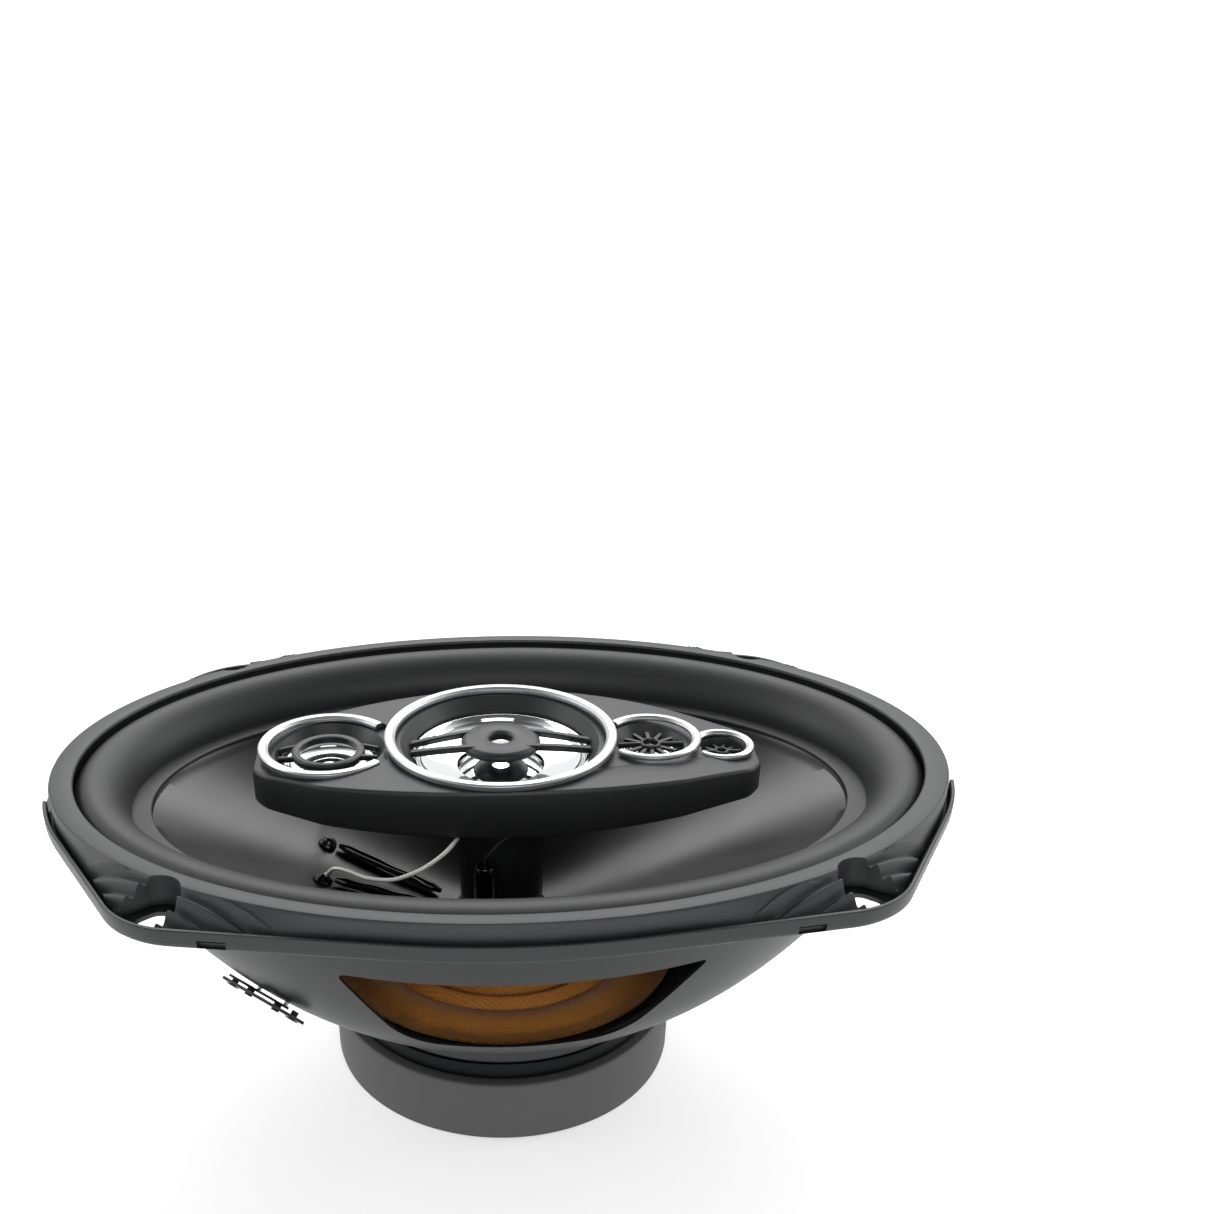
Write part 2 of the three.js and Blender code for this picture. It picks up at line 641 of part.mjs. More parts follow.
function podHousing() {
  const slab = (skin) => raised(podPlan(skin), UNDER, OVER, PLAN_STEPS);
  const body = (skin) => slab(skin).intersect(run(podSide(skin), -BESIDE, BESIDE, SIDE_STEPS));
  const plan = slab(0);
  let shell = body(0).subtract(body(POD_SKIN));
  for (const d of DRIVERS) {
    const seat = rod(d.ringR + GAP, d.domeZ + 0.5, d.ringZ - GAP, ROUND_STEPS).translate([d.x, 0, 0]);
    shell = shell.add(seat.intersect(plan));
  }
  for (const d of DRIVERS) {
    let pocket = rod(d.ringR + GAP, d.ringZ - GAP, OVER, ROUND_STEPS).translate([d.x, 0, 0]);
    const bigger = DRIVERS.find((other) => other.name === d.beside);
    if (bigger) {
      const collar = rod(bigger.ringR + GAP, UNDER, OVER, ROUND_STEPS).translate([bigger.x, 0, 0]);
      pocket = pocket.subtract(collar);
    }
    const funnel = turned([
      [0, UNDER], [d.bore, UNDER], [d.bore, d.ringZ - FUNNEL_DEPTH], [d.funnel, d.ringZ + 0.4],
      [d.funnel, OVER], [0, OVER],
    ]).translate([d.x, 0, 0]);
    shell = shell.subtract(pocket).subtract(funnel);
  }
  return shell;
}

// The back cover closes the bridge from below and carries the dish that stands on the post
function podBackCover() {
  const lid = raised(podPlan(POD_SKIN + GAP), UNDER, OVER, PLAN_STEPS);
  const band = new THREE.Shape();
  const { left, right, tipFootZ } = POD;
  for (const [z, step] of [[0.2, 1], [1.1, -1]]) {
    const from = step > 0 ? left : right;
    const to = step > 0 ? right : left;
    if (step > 0) band.moveTo(from, tipFootZ + z);
    else band.lineTo(from, tipFootZ + z);
    band.quadraticCurveTo(from / 2, POD_FOOT_Z + z, 0, POD_FOOT_Z + z);
    band.quadraticCurveTo(to / 2, POD_FOOT_Z + z, to, tipFootZ + z);
  }
  const plate = lid.intersect(run(band, -BESIDE, BESIDE, SIDE_STEPS));
  const dish = turned([
    [0, POST_TOP_Z + GAP], [POST_R, POST_TOP_Z + GAP], [DISH_R - 1.2, DISH_Z - 1.6],
    [DISH_R, DISH_Z], [DISH_R, POD_FOOT_Z + 0.9], [0, POD_FOOT_Z + 0.9],
  ]);
  const well = rod(DISH_R - 1.8, DISH_Z - 0.4, OVER, ROUND_STEPS);
  return plate.add(dish).subtract(well);
}

// A ring on the bridge, open towards the middle where it would meet the next ring
function driverRing(d) {
  const inner = d.ringR - d.ringW;
  const high = d.ringZ + d.ringH;
  let ring = turned([
    [inner, d.ringZ], [d.ringR, d.ringZ], [d.ringR, high - 0.3], [d.ringR - 0.4, high],
    [inner + 0.6, high], [inner, high - 0.5], [inner, d.ringZ],
  ], ROUND_STEPS);
  if (d.gapAngle) {
    const reach = d.ringR + 4;
    const half = THREE.MathUtils.degToRad(d.gapAngle);
    const wedge = new THREE.Shape();
    wedge.moveTo(0, 0);
    wedge.lineTo(reach * Math.cos(half), -reach * Math.sin(half));
    wedge.lineTo(reach * 1.5, 0);
    wedge.lineTo(reach * Math.cos(half), reach * Math.sin(half));
    const facing = THREE.MathUtils.degToRad(d.facing);
    const settings = { depth: 12, bevelEnabled: false };
    const cutter = new THREE.ExtrudeGeometry(wedge, settings).rotateZ(facing);
    ring = ring.subtract(solid(cutter.translate(0, 0, d.ringZ - 5)));
  }
  return ring.translate([d.x, 0, 0]);
}

// A driver's guard: bars across the funnel with a hub over the dome
function guard(d) {
  const low = d.ringZ - 2.2;
  const rise = (FUNNEL_DEPTH - 2.5) / (FUNNEL_DEPTH + 0.4);
  const reach = d.bore + (d.funnel - d.bore) * rise - GAP;
  const cut = turned([[0, low - 2], [reach, low - 2], [reach, low + 8], [0, low + 8]]);
  if (d.name === "midrange") {
    const bars = [-3.95, 3.95].map((y) => box(0, y, low + 0.6, 60, 1.9, 1.8));
    const hub = turned([[3, low - 0.3], [10.3, low - 0.3], [10.3, low + 1.6], [6.5, low + 2.1],
      [3, low + 1.7], [3, low - 0.3]]);
    return unite(bars[0], bars[1]).intersect(cut).add(hub);
  }
  if (d.name === "tweeter") {
    const bars = [-3.5, 3.5].map((y) => box(0, y, low + 0.6, 60, 1.4, 1.6));
    const hole = 7.4;
    const hub = tube(hole, hole + 2.2, low - 0.3, low + 1.5, SMALL_STEPS);
    return unite(bars[0], bars[1]).intersect(cut).add(hub)
      .subtract(rod(hole, low - 3, low + 6)).translate([d.x, 0, 0]);
  }
  const hubR = d.name === "small_tweeter" ? 2.6 : 1.9;
  const bar = box(0, 0, low + 0.6, 60, 0.9, 1.6).intersect(cut);
  return bar.add(rod(hubR, low - 0.4, low + 1.2)).translate([d.x, 0, 0]);
}

// A driver's horn: a polished bowl around its dome, set in the bore
function horn(d) {
  const rim = d.bore - GAP;
  const throat = d.dome + 0.5;
  const edge = Math.min(1.6, (rim - throat) * 0.4);
  const foot = d.domeZ - 0.8;
  const height = d.ringZ - 4.2 - foot;
  const up = (share) => foot + height * share;
  return turned([
    [throat, foot], [rim, foot], [rim, up(1)], [rim - edge * 0.4, up(1)], [rim - edge, up(0.8)],
    [(rim + throat) / 2, up(0.5)], [throat, up(0.25)], [throat, foot],
  ], ROUND_STEPS).translate([d.x, 0, 0]);
}

// A driver's dome: a thin cap that moves a fraction of a millimetre
function dome(d) {
  const height = d.dome * 0.26;
  const skin = 0.6;
  const base = d.domeZ;
  const outer = [0, 0.45, 0.8, 1];
  const cap = (shrink) => outer.map((share) => {
    const angle = (share * Math.PI) / 2;
    return [(d.dome - shrink) * Math.sin(angle), base + (height - shrink) * Math.cos(angle) ** 1.2];
  });
  const above = cap(0);
  const below = cap(skin).reverse();
  return turned([...above, ...below], SMALL_STEPS).translate([d.x, 0, 0]);
}

// The crossover capacitor hangs on the front of the post, with a bare wire up to the bridge
const CAPACITOR_X = -5;
const CAPACITOR_Y = -14.8;

function capacitor() {
  return turned([[0, 52], [2.4, 52], [2.8, 52.6], [2.8, 65.4], [2.4, 66], [0, 66]], SMALL_STEPS)
    .translate([CAPACITOR_X, CAPACITOR_Y, 0]);
}

const CAPACITOR_LEAD = [
  [CAPACITOR_X, CAPACITOR_Y, 66.4], [-4.7, -15.6, 68.4], [-3.6, -18, 71.4], [-1, -22, 77],
  [1.6, -25.2, 80.8], [2.6, -25.8, 82.5],
];

// ---------------------------------------------------------------- the assembly

add("basket", basket(), STEEL);
add("trim_ring", trimRing(), GREY_PLASTIC);
add("surround", surround(), RUBBER);
add("cone", cone(), GLOSS_CONE);
add("spider", spider(), AMBER_CLOTH);

add("magnet_boot", boot(), RUBBER);
add("back_plate", backPlate(), PLATED);
add("ferrite_magnet", tube(MAGNET_BORE, MAGNET_R, 6.9, TOP_PLATE_Z - GAP), FERRITE);
add("top_plate", topPlate(), PLATED);
rivetPlaces().forEach((place, i) => add(`basket_rivet_${i + 1}`, rivet(place), PLATED));
add("terminal_board", terminalBoard(), FIBRE);
add("terminal_blade_positive", terminalBlade(-5, 6.3), PLATED);
add("terminal_blade_negative", terminalBlade(5, 4.8), PLATED);
add("terminal_rivet_1", terminalRivet(-11), PLATED);
add("terminal_rivet_2", terminalRivet(11), PLATED);
add("voice_coil_former", tube(FORMER_R, FORMER_R + FORMER_WALL, 13.6, NECK_Z + 1), FIBRE);
const windingR = FORMER_R + FORMER_WALL + GAP;
add("voice_coil_winding", tube(windingR, windingR + 0.7, 14.2, 26.8), COPPER);

add("centre_post", centrePost(), BLACK_PLASTIC);
add("post_screw", postScrew(), PLATED);
add("pod_back_cover", podBackCover(), BLACK_PLASTIC);
add("pod_housing", podHousing(), BLACK_PLASTIC);

add("midrange_magnet", rod(DISH_R - 2.4, DISH_Z - 0.1, 86.2, ROUND_STEPS), FERRITE);
for (const d of DRIVERS.slice(1)) {
  const disc = rod(d.bore - 2.4, d.domeZ - 1.8, d.domeZ - 1.1).translate([d.x, 0, 0]);
  add(`${d.name}_piezo_disc`, disc, PLATED);
}

add("capacitor", capacitor(), BLACK_PLASTIC);
add("capacitor_lead", wire(CAPACITOR_LEAD, 0.8, 10, 6), PLATED);
add("front_lead_near", wire(FRONT_LEAD, LEAD_D, 24), BRAID);
add("front_lead_far", wire(FAR_LEAD, LEAD_D, 22), BRAID);
add("rear_lead_near", rearLead(1), BRAID);
add("rear_lead_far", rearLead(-1), BRAID);
add("eyelet_near", eyelet(-1), RUBBER);
add("eyelet_far", eyelet(1), RUBBER);
add("glue_bead_near", glueBead(-1), RUBBER);
add("glue_bead_far", glueBead(1), RUBBER);

for (const d of DRIVERS) {
  add(`${d.name}_ring`, driverRing(d), SATIN_SILVER);
  add(`${d.name}_guard`, guard(d), BLACK_PLASTIC);
  add(`${d.name}_horn`, horn(d), CHROME);
  add(`${d.name}_dome`, dome(d), CHROME);
}

export default group;
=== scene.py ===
# %% [markdown]
# # A 6x9 inch coaxial car speaker
#
# The real object is a woofer with an oval paper-and-film cone, and a plastic bridge over it that
# carries four small drivers. Each step below takes one piece or one finish: what it is on the
# real speaker, the ways it could be made, and why one was chosen. Sizes are in millimetres and
# become metres in one place.

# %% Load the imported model
import json
import math
import bmesh
import bpy
import numpy as np
from mathutils import Matrix, Vector

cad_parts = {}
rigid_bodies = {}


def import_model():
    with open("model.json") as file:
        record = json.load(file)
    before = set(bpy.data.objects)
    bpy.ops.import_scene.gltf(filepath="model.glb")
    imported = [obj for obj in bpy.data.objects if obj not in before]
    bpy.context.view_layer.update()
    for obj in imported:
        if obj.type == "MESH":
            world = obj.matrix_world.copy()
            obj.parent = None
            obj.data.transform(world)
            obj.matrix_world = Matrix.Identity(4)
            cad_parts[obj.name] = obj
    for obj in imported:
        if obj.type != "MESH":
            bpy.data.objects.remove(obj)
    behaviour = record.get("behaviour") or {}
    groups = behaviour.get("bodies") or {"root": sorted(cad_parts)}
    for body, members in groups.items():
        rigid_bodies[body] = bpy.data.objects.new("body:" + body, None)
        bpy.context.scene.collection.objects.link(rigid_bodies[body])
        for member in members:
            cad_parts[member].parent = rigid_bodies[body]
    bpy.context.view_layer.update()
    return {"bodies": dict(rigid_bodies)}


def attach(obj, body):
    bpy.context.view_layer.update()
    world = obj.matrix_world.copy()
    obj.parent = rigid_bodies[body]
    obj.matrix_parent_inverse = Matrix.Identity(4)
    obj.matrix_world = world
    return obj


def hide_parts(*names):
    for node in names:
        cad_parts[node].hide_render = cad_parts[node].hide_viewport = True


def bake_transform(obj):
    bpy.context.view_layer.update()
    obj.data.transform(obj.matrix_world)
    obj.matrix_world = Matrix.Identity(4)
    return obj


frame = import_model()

# %% [markdown]
# ## Sizes that several pieces share
#
# The frame is an ellipse with four rounded ears. The cone, the rubber roll and the trim ring are
# ellipses too, so most sizes are a half length, a half width and a height.

# %% Shared sizes, in millimetres
MM = 0.001
FRAME, EAR, EAR_R = (118.3, 83.1), (72, 50.5), 22.8
HOLE = (80.1, 64.2)
SHEET, FLANGE_Z, LIP_Z = 1.1, 83.7, 87.3
BOWL, BOWL_FOOT_R, BOWL_FOOT_Z = (108.4, 75), 50, 33
PLATE_R, PLATE_Z, TOP_PLATE_Z, GAP_R = 46.4, 24.3, 19.1, 14.6
TRIM, TRIM_INNER, TRIM_Z = (116.2, 81), (110, 76.6), 91.8
CONE, CONE_SEEN, CONE_RIM_Z = (97, 62), (92, 57), 79.4
NECK_R, NECK_Z, CONE_WALL, CONE_CURVE = 13.4, 43, 0.8, 0.94
ROLL, ROLL_CREST_Z = (111, 77.6), 90.6
SPIDER_R, SPIDER_Z, FORMER_R = 48.8, 34, 12.5
POD_TOP_Z, POD_FOOT_Z = 96, 83.1
POD = {"bulge": 30.5, "shoulder": (46, 21.3), "left": -64.2, "right": 67.6, "tip": 7.5,
       "corner": 11.8, "chamfer": 3, "left_top": 92.2, "right_top": 90.6, "tip_foot": 82.6}
DRIVERS = {
    "midrange": {"x": 0, "ring": 30.3, "width": 2.8, "z": 96.1, "height": 1.6, "bore": 23.6,
                 "funnel": 27.3, "dome": 11, "dome_z": 87.6, "gap": 0, "facing": 0},
    "tweeter": {"x": -45.1, "ring": 18.06, "width": 2.7, "z": 94.2, "height": 1.4, "bore": 12.6,
                "funnel": 15.2, "dome": 6.4, "dome_z": 88.2, "gap": 39, "facing": 0},
    "small_tweeter": {"x": 39.4, "ring": 13.1, "width": 2.35, "z": 94.6, "height": 1.2,
                      "bore": 7.6, "funnel": 10.6, "dome": 4.6, "dome_z": 89.4, "gap": 43,
                      "facing": 180},
    "tiny_tweeter": {"x": 58.4, "ring": 8.4, "width": 2.1, "z": 91.9, "height": 1.1, "bore": 5,
                     "funnel": 6.1, "dome": 3.4, "dome_z": 87, "gap": 39, "facing": 180},
}
FUNNEL_DEPTH, POD_SKIN, FIT_GAP = 3.4, 1.8, 0.3
CORNERS = [(1, 1), (-1, 1), (-1, -1), (1, -1)]
ROOT, MOVING = "frame_and_bridge", "cone_assembly"
assert {ROOT, MOVING} <= set(frame["bodies"])

# %% [markdown]
# ## The camera
#
# A product shot from a little to the left, about 31 degrees above the floor. The speaker sits low
# and left in the frame, so the lens is shifted instead of turning the camera: a shift keeps the
# perspective of the object, and a turn would change it.

# %% The camera
def camera_matrix(azimuth, elevation, roll, place):
    a, e, r = (math.radians(v) for v in (azimuth, elevation, roll))
    back = Vector((math.sin(a) * math.cos(e), -math.cos(a) * math.cos(e), math.sin(e)))
    right = Vector((math.cos(a), math.sin(a), 0))
    up = back.cross(right)
    right, up = right * math.cos(r) + up * math.sin(r), up * math.cos(r) - right * math.sin(r)
    turn = Matrix((right, up, back)).transposed().to_4x4()
    return Matrix.Translation(place) @ turn


lens = bpy.data.cameras.new("camera")
lens.sensor_width, lens.lens = 36, 39.33
lens.shift_x, lens.shift_y = 0.0869, 0.2042
lens.clip_end = 200
camera = bpy.data.objects.new("camera", lens)
camera.matrix_world = camera_matrix(-2.05, 31.18, -0.39, (-0.011145, -0.311932, 0.248886))
bpy.context.scene.collection.objects.link(camera)
bpy.context.scene.camera = camera
bpy.context.scene.view_settings.view_transform = "Standard"
print("camera stands", round(camera.location.length, 3), "m from the origin")

# %% [markdown]
# ## Two small helpers for finishes
#
# Colours are written as the hex codes a paint chart gives, and a shader wants linear light, so one
# function turns them. A second one adds a node with its settings and links, which keeps each
# material readable as a short list.

# %% Colour and node helpers
def srgb(code):
    channels = [int(code[i:i + 2], 16) / 255 for i in (1, 3, 5)]
    linear = [c / 12.92 if c <= 0.04045 else ((c + 0.055) / 1.055) ** 2.4 for c in channels]
    return (*linear, 1)


def add_node(tree, kind, inputs=None, **settings):
    made = tree.nodes.new(kind)
    for name, value in settings.items():
        setattr(made, name, value)
    for name, value in (inputs or {}).items():
        if isinstance(value, bpy.types.NodeSocket):
            tree.links.new(value, made.inputs[name])
        else:
            made.inputs[name].default_value = value
    return made


def new_material(name):
    material = bpy.data.materials.new(name)
    material.use_nodes = True
    material.node_tree.nodes.clear()
    return material, material.node_tree


def shade(tree, shader):
    output = add_node(tree, "ShaderNodeOutputMaterial")
    tree.links.new(shader.outputs[0], output.inputs["Surface"])


# %% [markdown]
# ## Floor, room and lights
#
# The speaker stands on a white sweep. Its paper glows with painted light of its own, weaker close
# to the speaker, so the floor round it reads darker like painted shade, and stronger further out.
# A shiny black object is drawn by what it reflects, so the room matters more than the lamps:
# white paper behind it and low on every side gives the flat tops their grey, and a dark ceiling
# in front gives the far wall of the cone its black.

# %% The floor
floor_mesh = bpy.data.meshes.new("floor")
floor_mesh.from_pydata([(-60, -60, 0), (60, -60, 0), (60, 60, 0), (-60, 60, 0)], [], [(0, 1, 2, 3)])
floor = bpy.data.objects.new("floor", floor_mesh)
bpy.context.scene.collection.objects.link(floor)
paper, tree = new_material("white_paper_with_painted_glow")
where = add_node(tree, "ShaderNodeTexCoord")
fibres = add_node(tree, "ShaderNodeTexNoise", {"Vector": where.outputs["Object"], "Scale": 40.0})
tone = add_node(tree, "ShaderNodeMapRange", {"Value": fibres.outputs[0], "To Min": 0.79, "To Max": 0.82})
# Painted glow: the paper emits light, 0.48 within 0.3 m of the speaker and 0.8 beyond 1.3 m, so it reads as painted
# shade near the speaker and as pure white far off.
reach = add_node(tree, "ShaderNodeVectorMath", {0: where.outputs["Object"]}, operation="LENGTH")
far = add_node(tree, "ShaderNodeMapRange", {
    "Value": reach.outputs["Value"], "From Min": 0.3, "From Max": 1.3, "To Min": 0.48, "To Max": 0.8},
    interpolation_type="SMOOTHSTEP")
shade(tree, add_node(tree, "ShaderNodeBsdfPrincipled", {
    "Base Color": tone.outputs[0], "Roughness": 0.9, "Specular IOR Level": 0.1,
    "Emission Color": srgb("#ffffff"), "Emission Strength": far.outputs[0]}))
floor_mesh.materials.append(paper)

# %% The room
room = bpy.data.worlds.new("studio")
bpy.context.scene.world = room
room.use_nodes = True
tree = room.node_tree
tree.nodes.clear()
aim = add_node(tree, "ShaderNodeTexCoord")
part = add_node(tree, "ShaderNodeSeparateXYZ", {"Vector": aim.outputs["Generated"]})
toward = add_node(tree, "ShaderNodeVectorMath", {0: aim.outputs["Generated"], 1: (0, -0.6, 0.8)},
                  operation="DOT_PRODUCT")
ceiling = add_node(tree, "ShaderNodeMapRange", {
    "Value": toward.outputs["Value"], "From Min": 0.25, "From Max": 0.85,
    "To Min": 1.0, "To Max": 0.1}, interpolation_type="SMOOTHSTEP")
horizon = add_node(tree, "ShaderNodeMapRange", {
    "Value": part.outputs["Z"], "From Min": 0.12, "From Max": 0.4, "To Min": 1.0, "To Max": 0.0},
    interpolation_type="SMOOTHSTEP")
glow = add_node(tree, "ShaderNodeMath", {0: ceiling.outputs[0], 1: horizon.outputs[0]},
                operation="MAXIMUM")
paper_light = add_node(tree, "ShaderNodeBackground", {"Color": (1, 1, 1, 1), "Strength": glow.outputs[0]})
tree.links.new(paper_light.outputs[0], add_node(tree, "ShaderNodeOutputWorld").inputs["Surface"])


# %% Soft boxes
def soft_box(name, place, size, power):
    light = bpy.data.lights.new(name, "AREA")
    light.shape, light.size, light.size_y, light.energy = "RECTANGLE", size[0], size[1], power
    lamp = bpy.data.objects.new(name, light)
    lamp.location = place
    lamp.rotation_euler = (Vector((0, 0, 0.08)) - Vector(place)).to_track_quat("-Z", "Y").to_euler()
    bpy.context.scene.collection.objects.link(lamp)
    return lamp


soft_box("soft_box_back", (0.1, 1.1, 1.1), (1.6, 0.8), 14)
soft_box("soft_box_left", (-1.3, 0.1, 0.75), (0.6, 1.2), 6)
soft_box("soft_box_right", (1.3, 0.2, 0.75), (0.6, 1.2), 6)
soft_box("card_front", (0.05, -1.2, 0.8), (1.0, 0.5), 5)

# %% [markdown]
# ## Finishes for moulded and painted parts
#
# Most of the speaker is black: pressed steel with a baked coat, ABS with a fine spark-eroded
# grain, and butyl rubber. They share one recipe. A broad noise shifts the tone a little, as any
# large moulding does, and a fine noise gives the grain its bump. What sets them apart is how dark,
# how smooth and how grainy each one is.

# %% A recipe for dark coats, plastics and rubbers
def moulded(name, colour, roughness, grain, depth, patch=14, swing=0.12, coat=0.0):
    """Colours in hex; grain and patch are sizes in mm, and depth is the grain's height in mm."""
    material, tree = new_material(name)
    where = add_node(tree, "ShaderNodeTexCoord").outputs["Object"]
    patches = add_node(tree, "ShaderNodeTexNoise", {
        "Vector": where, "Scale": 1 / (patch * MM), "Detail": 3.0}).outputs[0]
    low = srgb(colour)
    tint = add_node(tree, "ShaderNodeMix", {
        0: patches, 6: tuple(c * (1 - swing) for c in low[:3]) + (1,),
        7: tuple(min(1, c * (1 + swing)) for c in low[:3]) + (1,)}, data_type="RGBA")
    specks = add_node(tree, "ShaderNodeTexNoise", {
        "Vector": where, "Scale": 1 / (grain * MM), "Detail": 2.0}).outputs[0]
    sheen = add_node(tree, "ShaderNodeMapRange", {
        "Value": patches, "To Min": roughness - 0.04, "To Max": roughness + 0.04}).outputs[0]
    bump = add_node(tree, "ShaderNodeBump", {"Height": specks, "Distance": depth * MM, "Strength": 1.0})
    shade(tree, add_node(tree, "ShaderNodeBsdfPrincipled", {
        "Base Color": tint.outputs[2], "Roughness": sheen, "IOR": 1.5,
        "Coat Weight": coat, "Coat Roughness": 0.08, "Normal": bump.outputs[0]}))
    return material


coated_steel = moulded("baked_enamel_on_pressed_steel", "#1f2122", 0.4, 0.9, 0.006)
grained_abs = moulded("grained_abs_trim", "#2b2c2e", 0.46, 0.7, 0.012)
bridge_abs = moulded("grained_abs_bridge", "#222324", 0.44, 0.7, 0.014)
guard_abs = moulded("smooth_abs_guard", "#17181a", 0.4, 0.6, 0.004)
butyl = moulded("butyl_rubber_surround", "#202122", 0.5, 1.0, 0.008)
boot_rubber = moulded("satin_rubber_boot", "#4b4b4b", 0.62, 0.8, 0.01)
film = moulded("polypropylene_film_on_cone", "#060607", 0.3, 9.0, 0.02)
glue = moulded("black_contact_glue", "#0b0b0c", 0.22, 2.2, 0.08)
fibre = moulded("black_phenolic_fibre_board", "#141312", 0.55, 0.8, 0.02, swing=0.25)
ferrite = moulded("sintered_ferrite", "#2c2c2e", 0.6, 0.9, 0.02)
sleeve = moulded("shrunk_pvc_sleeve", "#08090a", 0.12, 5.0, 0.06)
kapton = moulded("kraft_paper_former", "#7a5a36", 0.6, 1.0, 0.02)
print("moulded finishes:", len(bpy.data.materials))

# %% [markdown]
# ## Metals
#
# Zinc plating is grainy and a little yellow, turned aluminium rings carry the fine circles that
# the lathe left, and the horns are vacuum-metallised plastic, which is close to a mirror. A metal
# keeps the shader's default IOR, because its colour and roughness say all that the eye sees.

# %% Plain metals
def metal(name, colour, roughness, grain, depth, swing=0.05):
    material, tree = new_material(name)
    where = add_node(tree, "ShaderNodeTexCoord").outputs["Object"]
    specks = add_node(tree, "ShaderNodeTexNoise", {
        "Vector": where, "Scale": 1 / (grain * MM), "Detail": 3.0}).outputs[0]
    sheen = add_node(tree, "ShaderNodeMapRange", {
        "Value": specks, "To Min": max(0.02, roughness - swing), "To Max": roughness + swing}).outputs[0]
    bump = add_node(tree, "ShaderNodeBump", {"Height": specks, "Distance": depth * MM})
    shade(tree, add_node(tree, "ShaderNodeBsdfPrincipled", {
        "Base Color": srgb(colour), "Metallic": 1.0, "Roughness": sheen, "Normal": bump.outputs[0]}))
    return material


zinc = metal("zinc_plated_steel", "#b9b7ad", 0.32, 0.8, 0.006)
dark_zinc = metal("black_zinc_plate", "#232425", 0.38, 0.8, 0.006)
mirror = metal("vacuum_metallised_plastic", "#f0f1f3", 0.045, 3.0, 0.004, swing=0.015)
copper = metal("enamelled_copper_winding", "#b5673a", 0.3, 0.4, 0.02)
tinsel = metal("tinned_copper_tinsel", "#f0f0ec", 0.55, 0.25, 0.02)


# %% Turned aluminium, with the lathe's circles around one centre
def turned_aluminium(name, centre_x):
    material, tree = new_material(name)
    where = add_node(tree, "ShaderNodeTexCoord").outputs["Object"]
    flat = add_node(tree, "ShaderNodeVectorMath", {0: where, 1: (1, 1, 0)}, operation="MULTIPLY")
    radius = add_node(tree, "ShaderNodeVectorMath", {
        0: flat.outputs[0], 1: (centre_x * MM, 0, 0)}, operation="DISTANCE").outputs["Value"]
    circles = add_node(tree, "ShaderNodeTexNoise", {
        "W": radius, "Scale": 1 / (0.25 * MM), "Detail": 2.0}, noise_dimensions="1D").outputs[0]
    sheen = add_node(tree, "ShaderNodeMapRange", {
        "Value": circles, "To Min": 0.3, "To Max": 0.42}).outputs[0]
    bump = add_node(tree, "ShaderNodeBump", {"Height": circles, "Distance": 0.004 * MM})
    shade(tree, add_node(tree, "ShaderNodeBsdfPrincipled", {
        "Base Color": srgb("#c4c5c8"), "Metallic": 1.0, "Roughness": sheen,
        "Normal": bump.outputs[0]}))
    return material


# %% [markdown]
# ## Woven cloth for the spider
#
# The spider is cotton dipped in phenolic resin, which turns it amber. Its threads are about half
# a millimetre apart and run straight across the disc, so the weave comes from two wave textures
# at right angles on the object's own coordinates. They are drawn 0.7 mm apart, so that they show.

# %% Resin-dipped cotton
spider_cotton, tree = new_material("resin_dipped_cotton_weave")
where = add_node(tree, "ShaderNodeTexCoord").outputs["Object"]
turn = add_node(tree, "ShaderNodeMapping", {"Vector": where, "Rotation": (0, 0, math.radians(28))})
threads = [add_node(tree, "ShaderNodeTexWave", {
    "Vector": turn.outputs[0], "Scale": 0.314 / (0.7 * MM), "Distortion": 0.6, "Detail": 1.0},
    bands_direction=way, wave_profile="SIN").outputs["Fac"] for way in ("X", "Y")]
weave = add_node(tree, "ShaderNodeMath", {0: threads[0], 1: threads[1]}, operation="MULTIPLY").outputs[0]
resin = add_node(tree, "ShaderNodeTexNoise", {
    "Vector": where, "Scale": 1 / (6 * MM), "Detail": 4.0}).outputs[0]
deep = add_node(tree, "ShaderNodeMix", {0: resin, 6: srgb("#b4661c"), 7: srgb("#dc9038")}, data_type="RGBA")
cotton = add_node(tree, "ShaderNodeMix", {
    0: weave, 6: deep.outputs[2], 7: srgb("#f0a648")}, data_type="RGBA")
bump = add_node(tree, "ShaderNodeBump", {"Height": weave, "Distance": 0.12 * MM})
shade(tree, add_node(tree, "ShaderNodeBsdfPrincipled", {
    "Base Color": cotton.outputs[2], "Roughness": 0.7, "Sheen Weight": 0.3, "Normal": bump.outputs[0]}))
print("weave threads every 0.7 mm")

# %% [markdown]
# ## Outlines, and a skin over them
#
# Nearly every big piece of a speaker is a ring whose section stays the same while its outline
# changes from a circle to an oval. So a piece is described as rows: each row is a closed loop of
# points, and a skin joins one row to the next. A corner of the section is softened by putting a
# small arc in its place, which is what a press tool or a mould does to every real edge.

# %% Loops of points
def directions(steps):
    return np.arange(steps) * 2 * math.pi / steps


def loop(x, y, z):
    return np.stack(np.broadcast_arrays(x, y, z), -1).astype(float)


def oval(a, b, z, steps=288):
    """A loop on an ellipse, with its points even in the direction they face."""
    c, s = np.cos(directions(steps)), np.sin(directions(steps))
    reach = np.hypot(a * c, b * s)
    return loop(a * a * c / reach, b * b * s / reach, z)


def circle(r, z, steps=96, x=0, y=0):
    angle = directions(steps)
    return loop(x + r * np.cos(angle), y + r * np.sin(angle), z)


# %% Rounding and skinning
def rounded(rows, radius, steps=3, closed=True):
    """Put a small arc at each corner of a section; radius is one size, or one for each row."""
    radii = radius if isinstance(radius, (list, tuple)) else [radius] * len(rows)
    result = []
    for i, here in enumerate(rows):
        if not radii[i] or (not closed and i in (0, len(rows) - 1)):
            result.append(here)
            continue
        arms = []
        for other in (rows[i - 1], rows[(i + 1) % len(rows)]):
            arm = other - here
            length = np.linalg.norm(arm, axis=1, keepdims=True)
            arms.append(arm * np.minimum(radii[i] / np.maximum(length, 1e-9), 0.45))
        for t in np.linspace(0, 1, steps + 1):
            result.append(here + arms[0] * (1 - t) ** 2 + arms[1] * t ** 2)
    return result


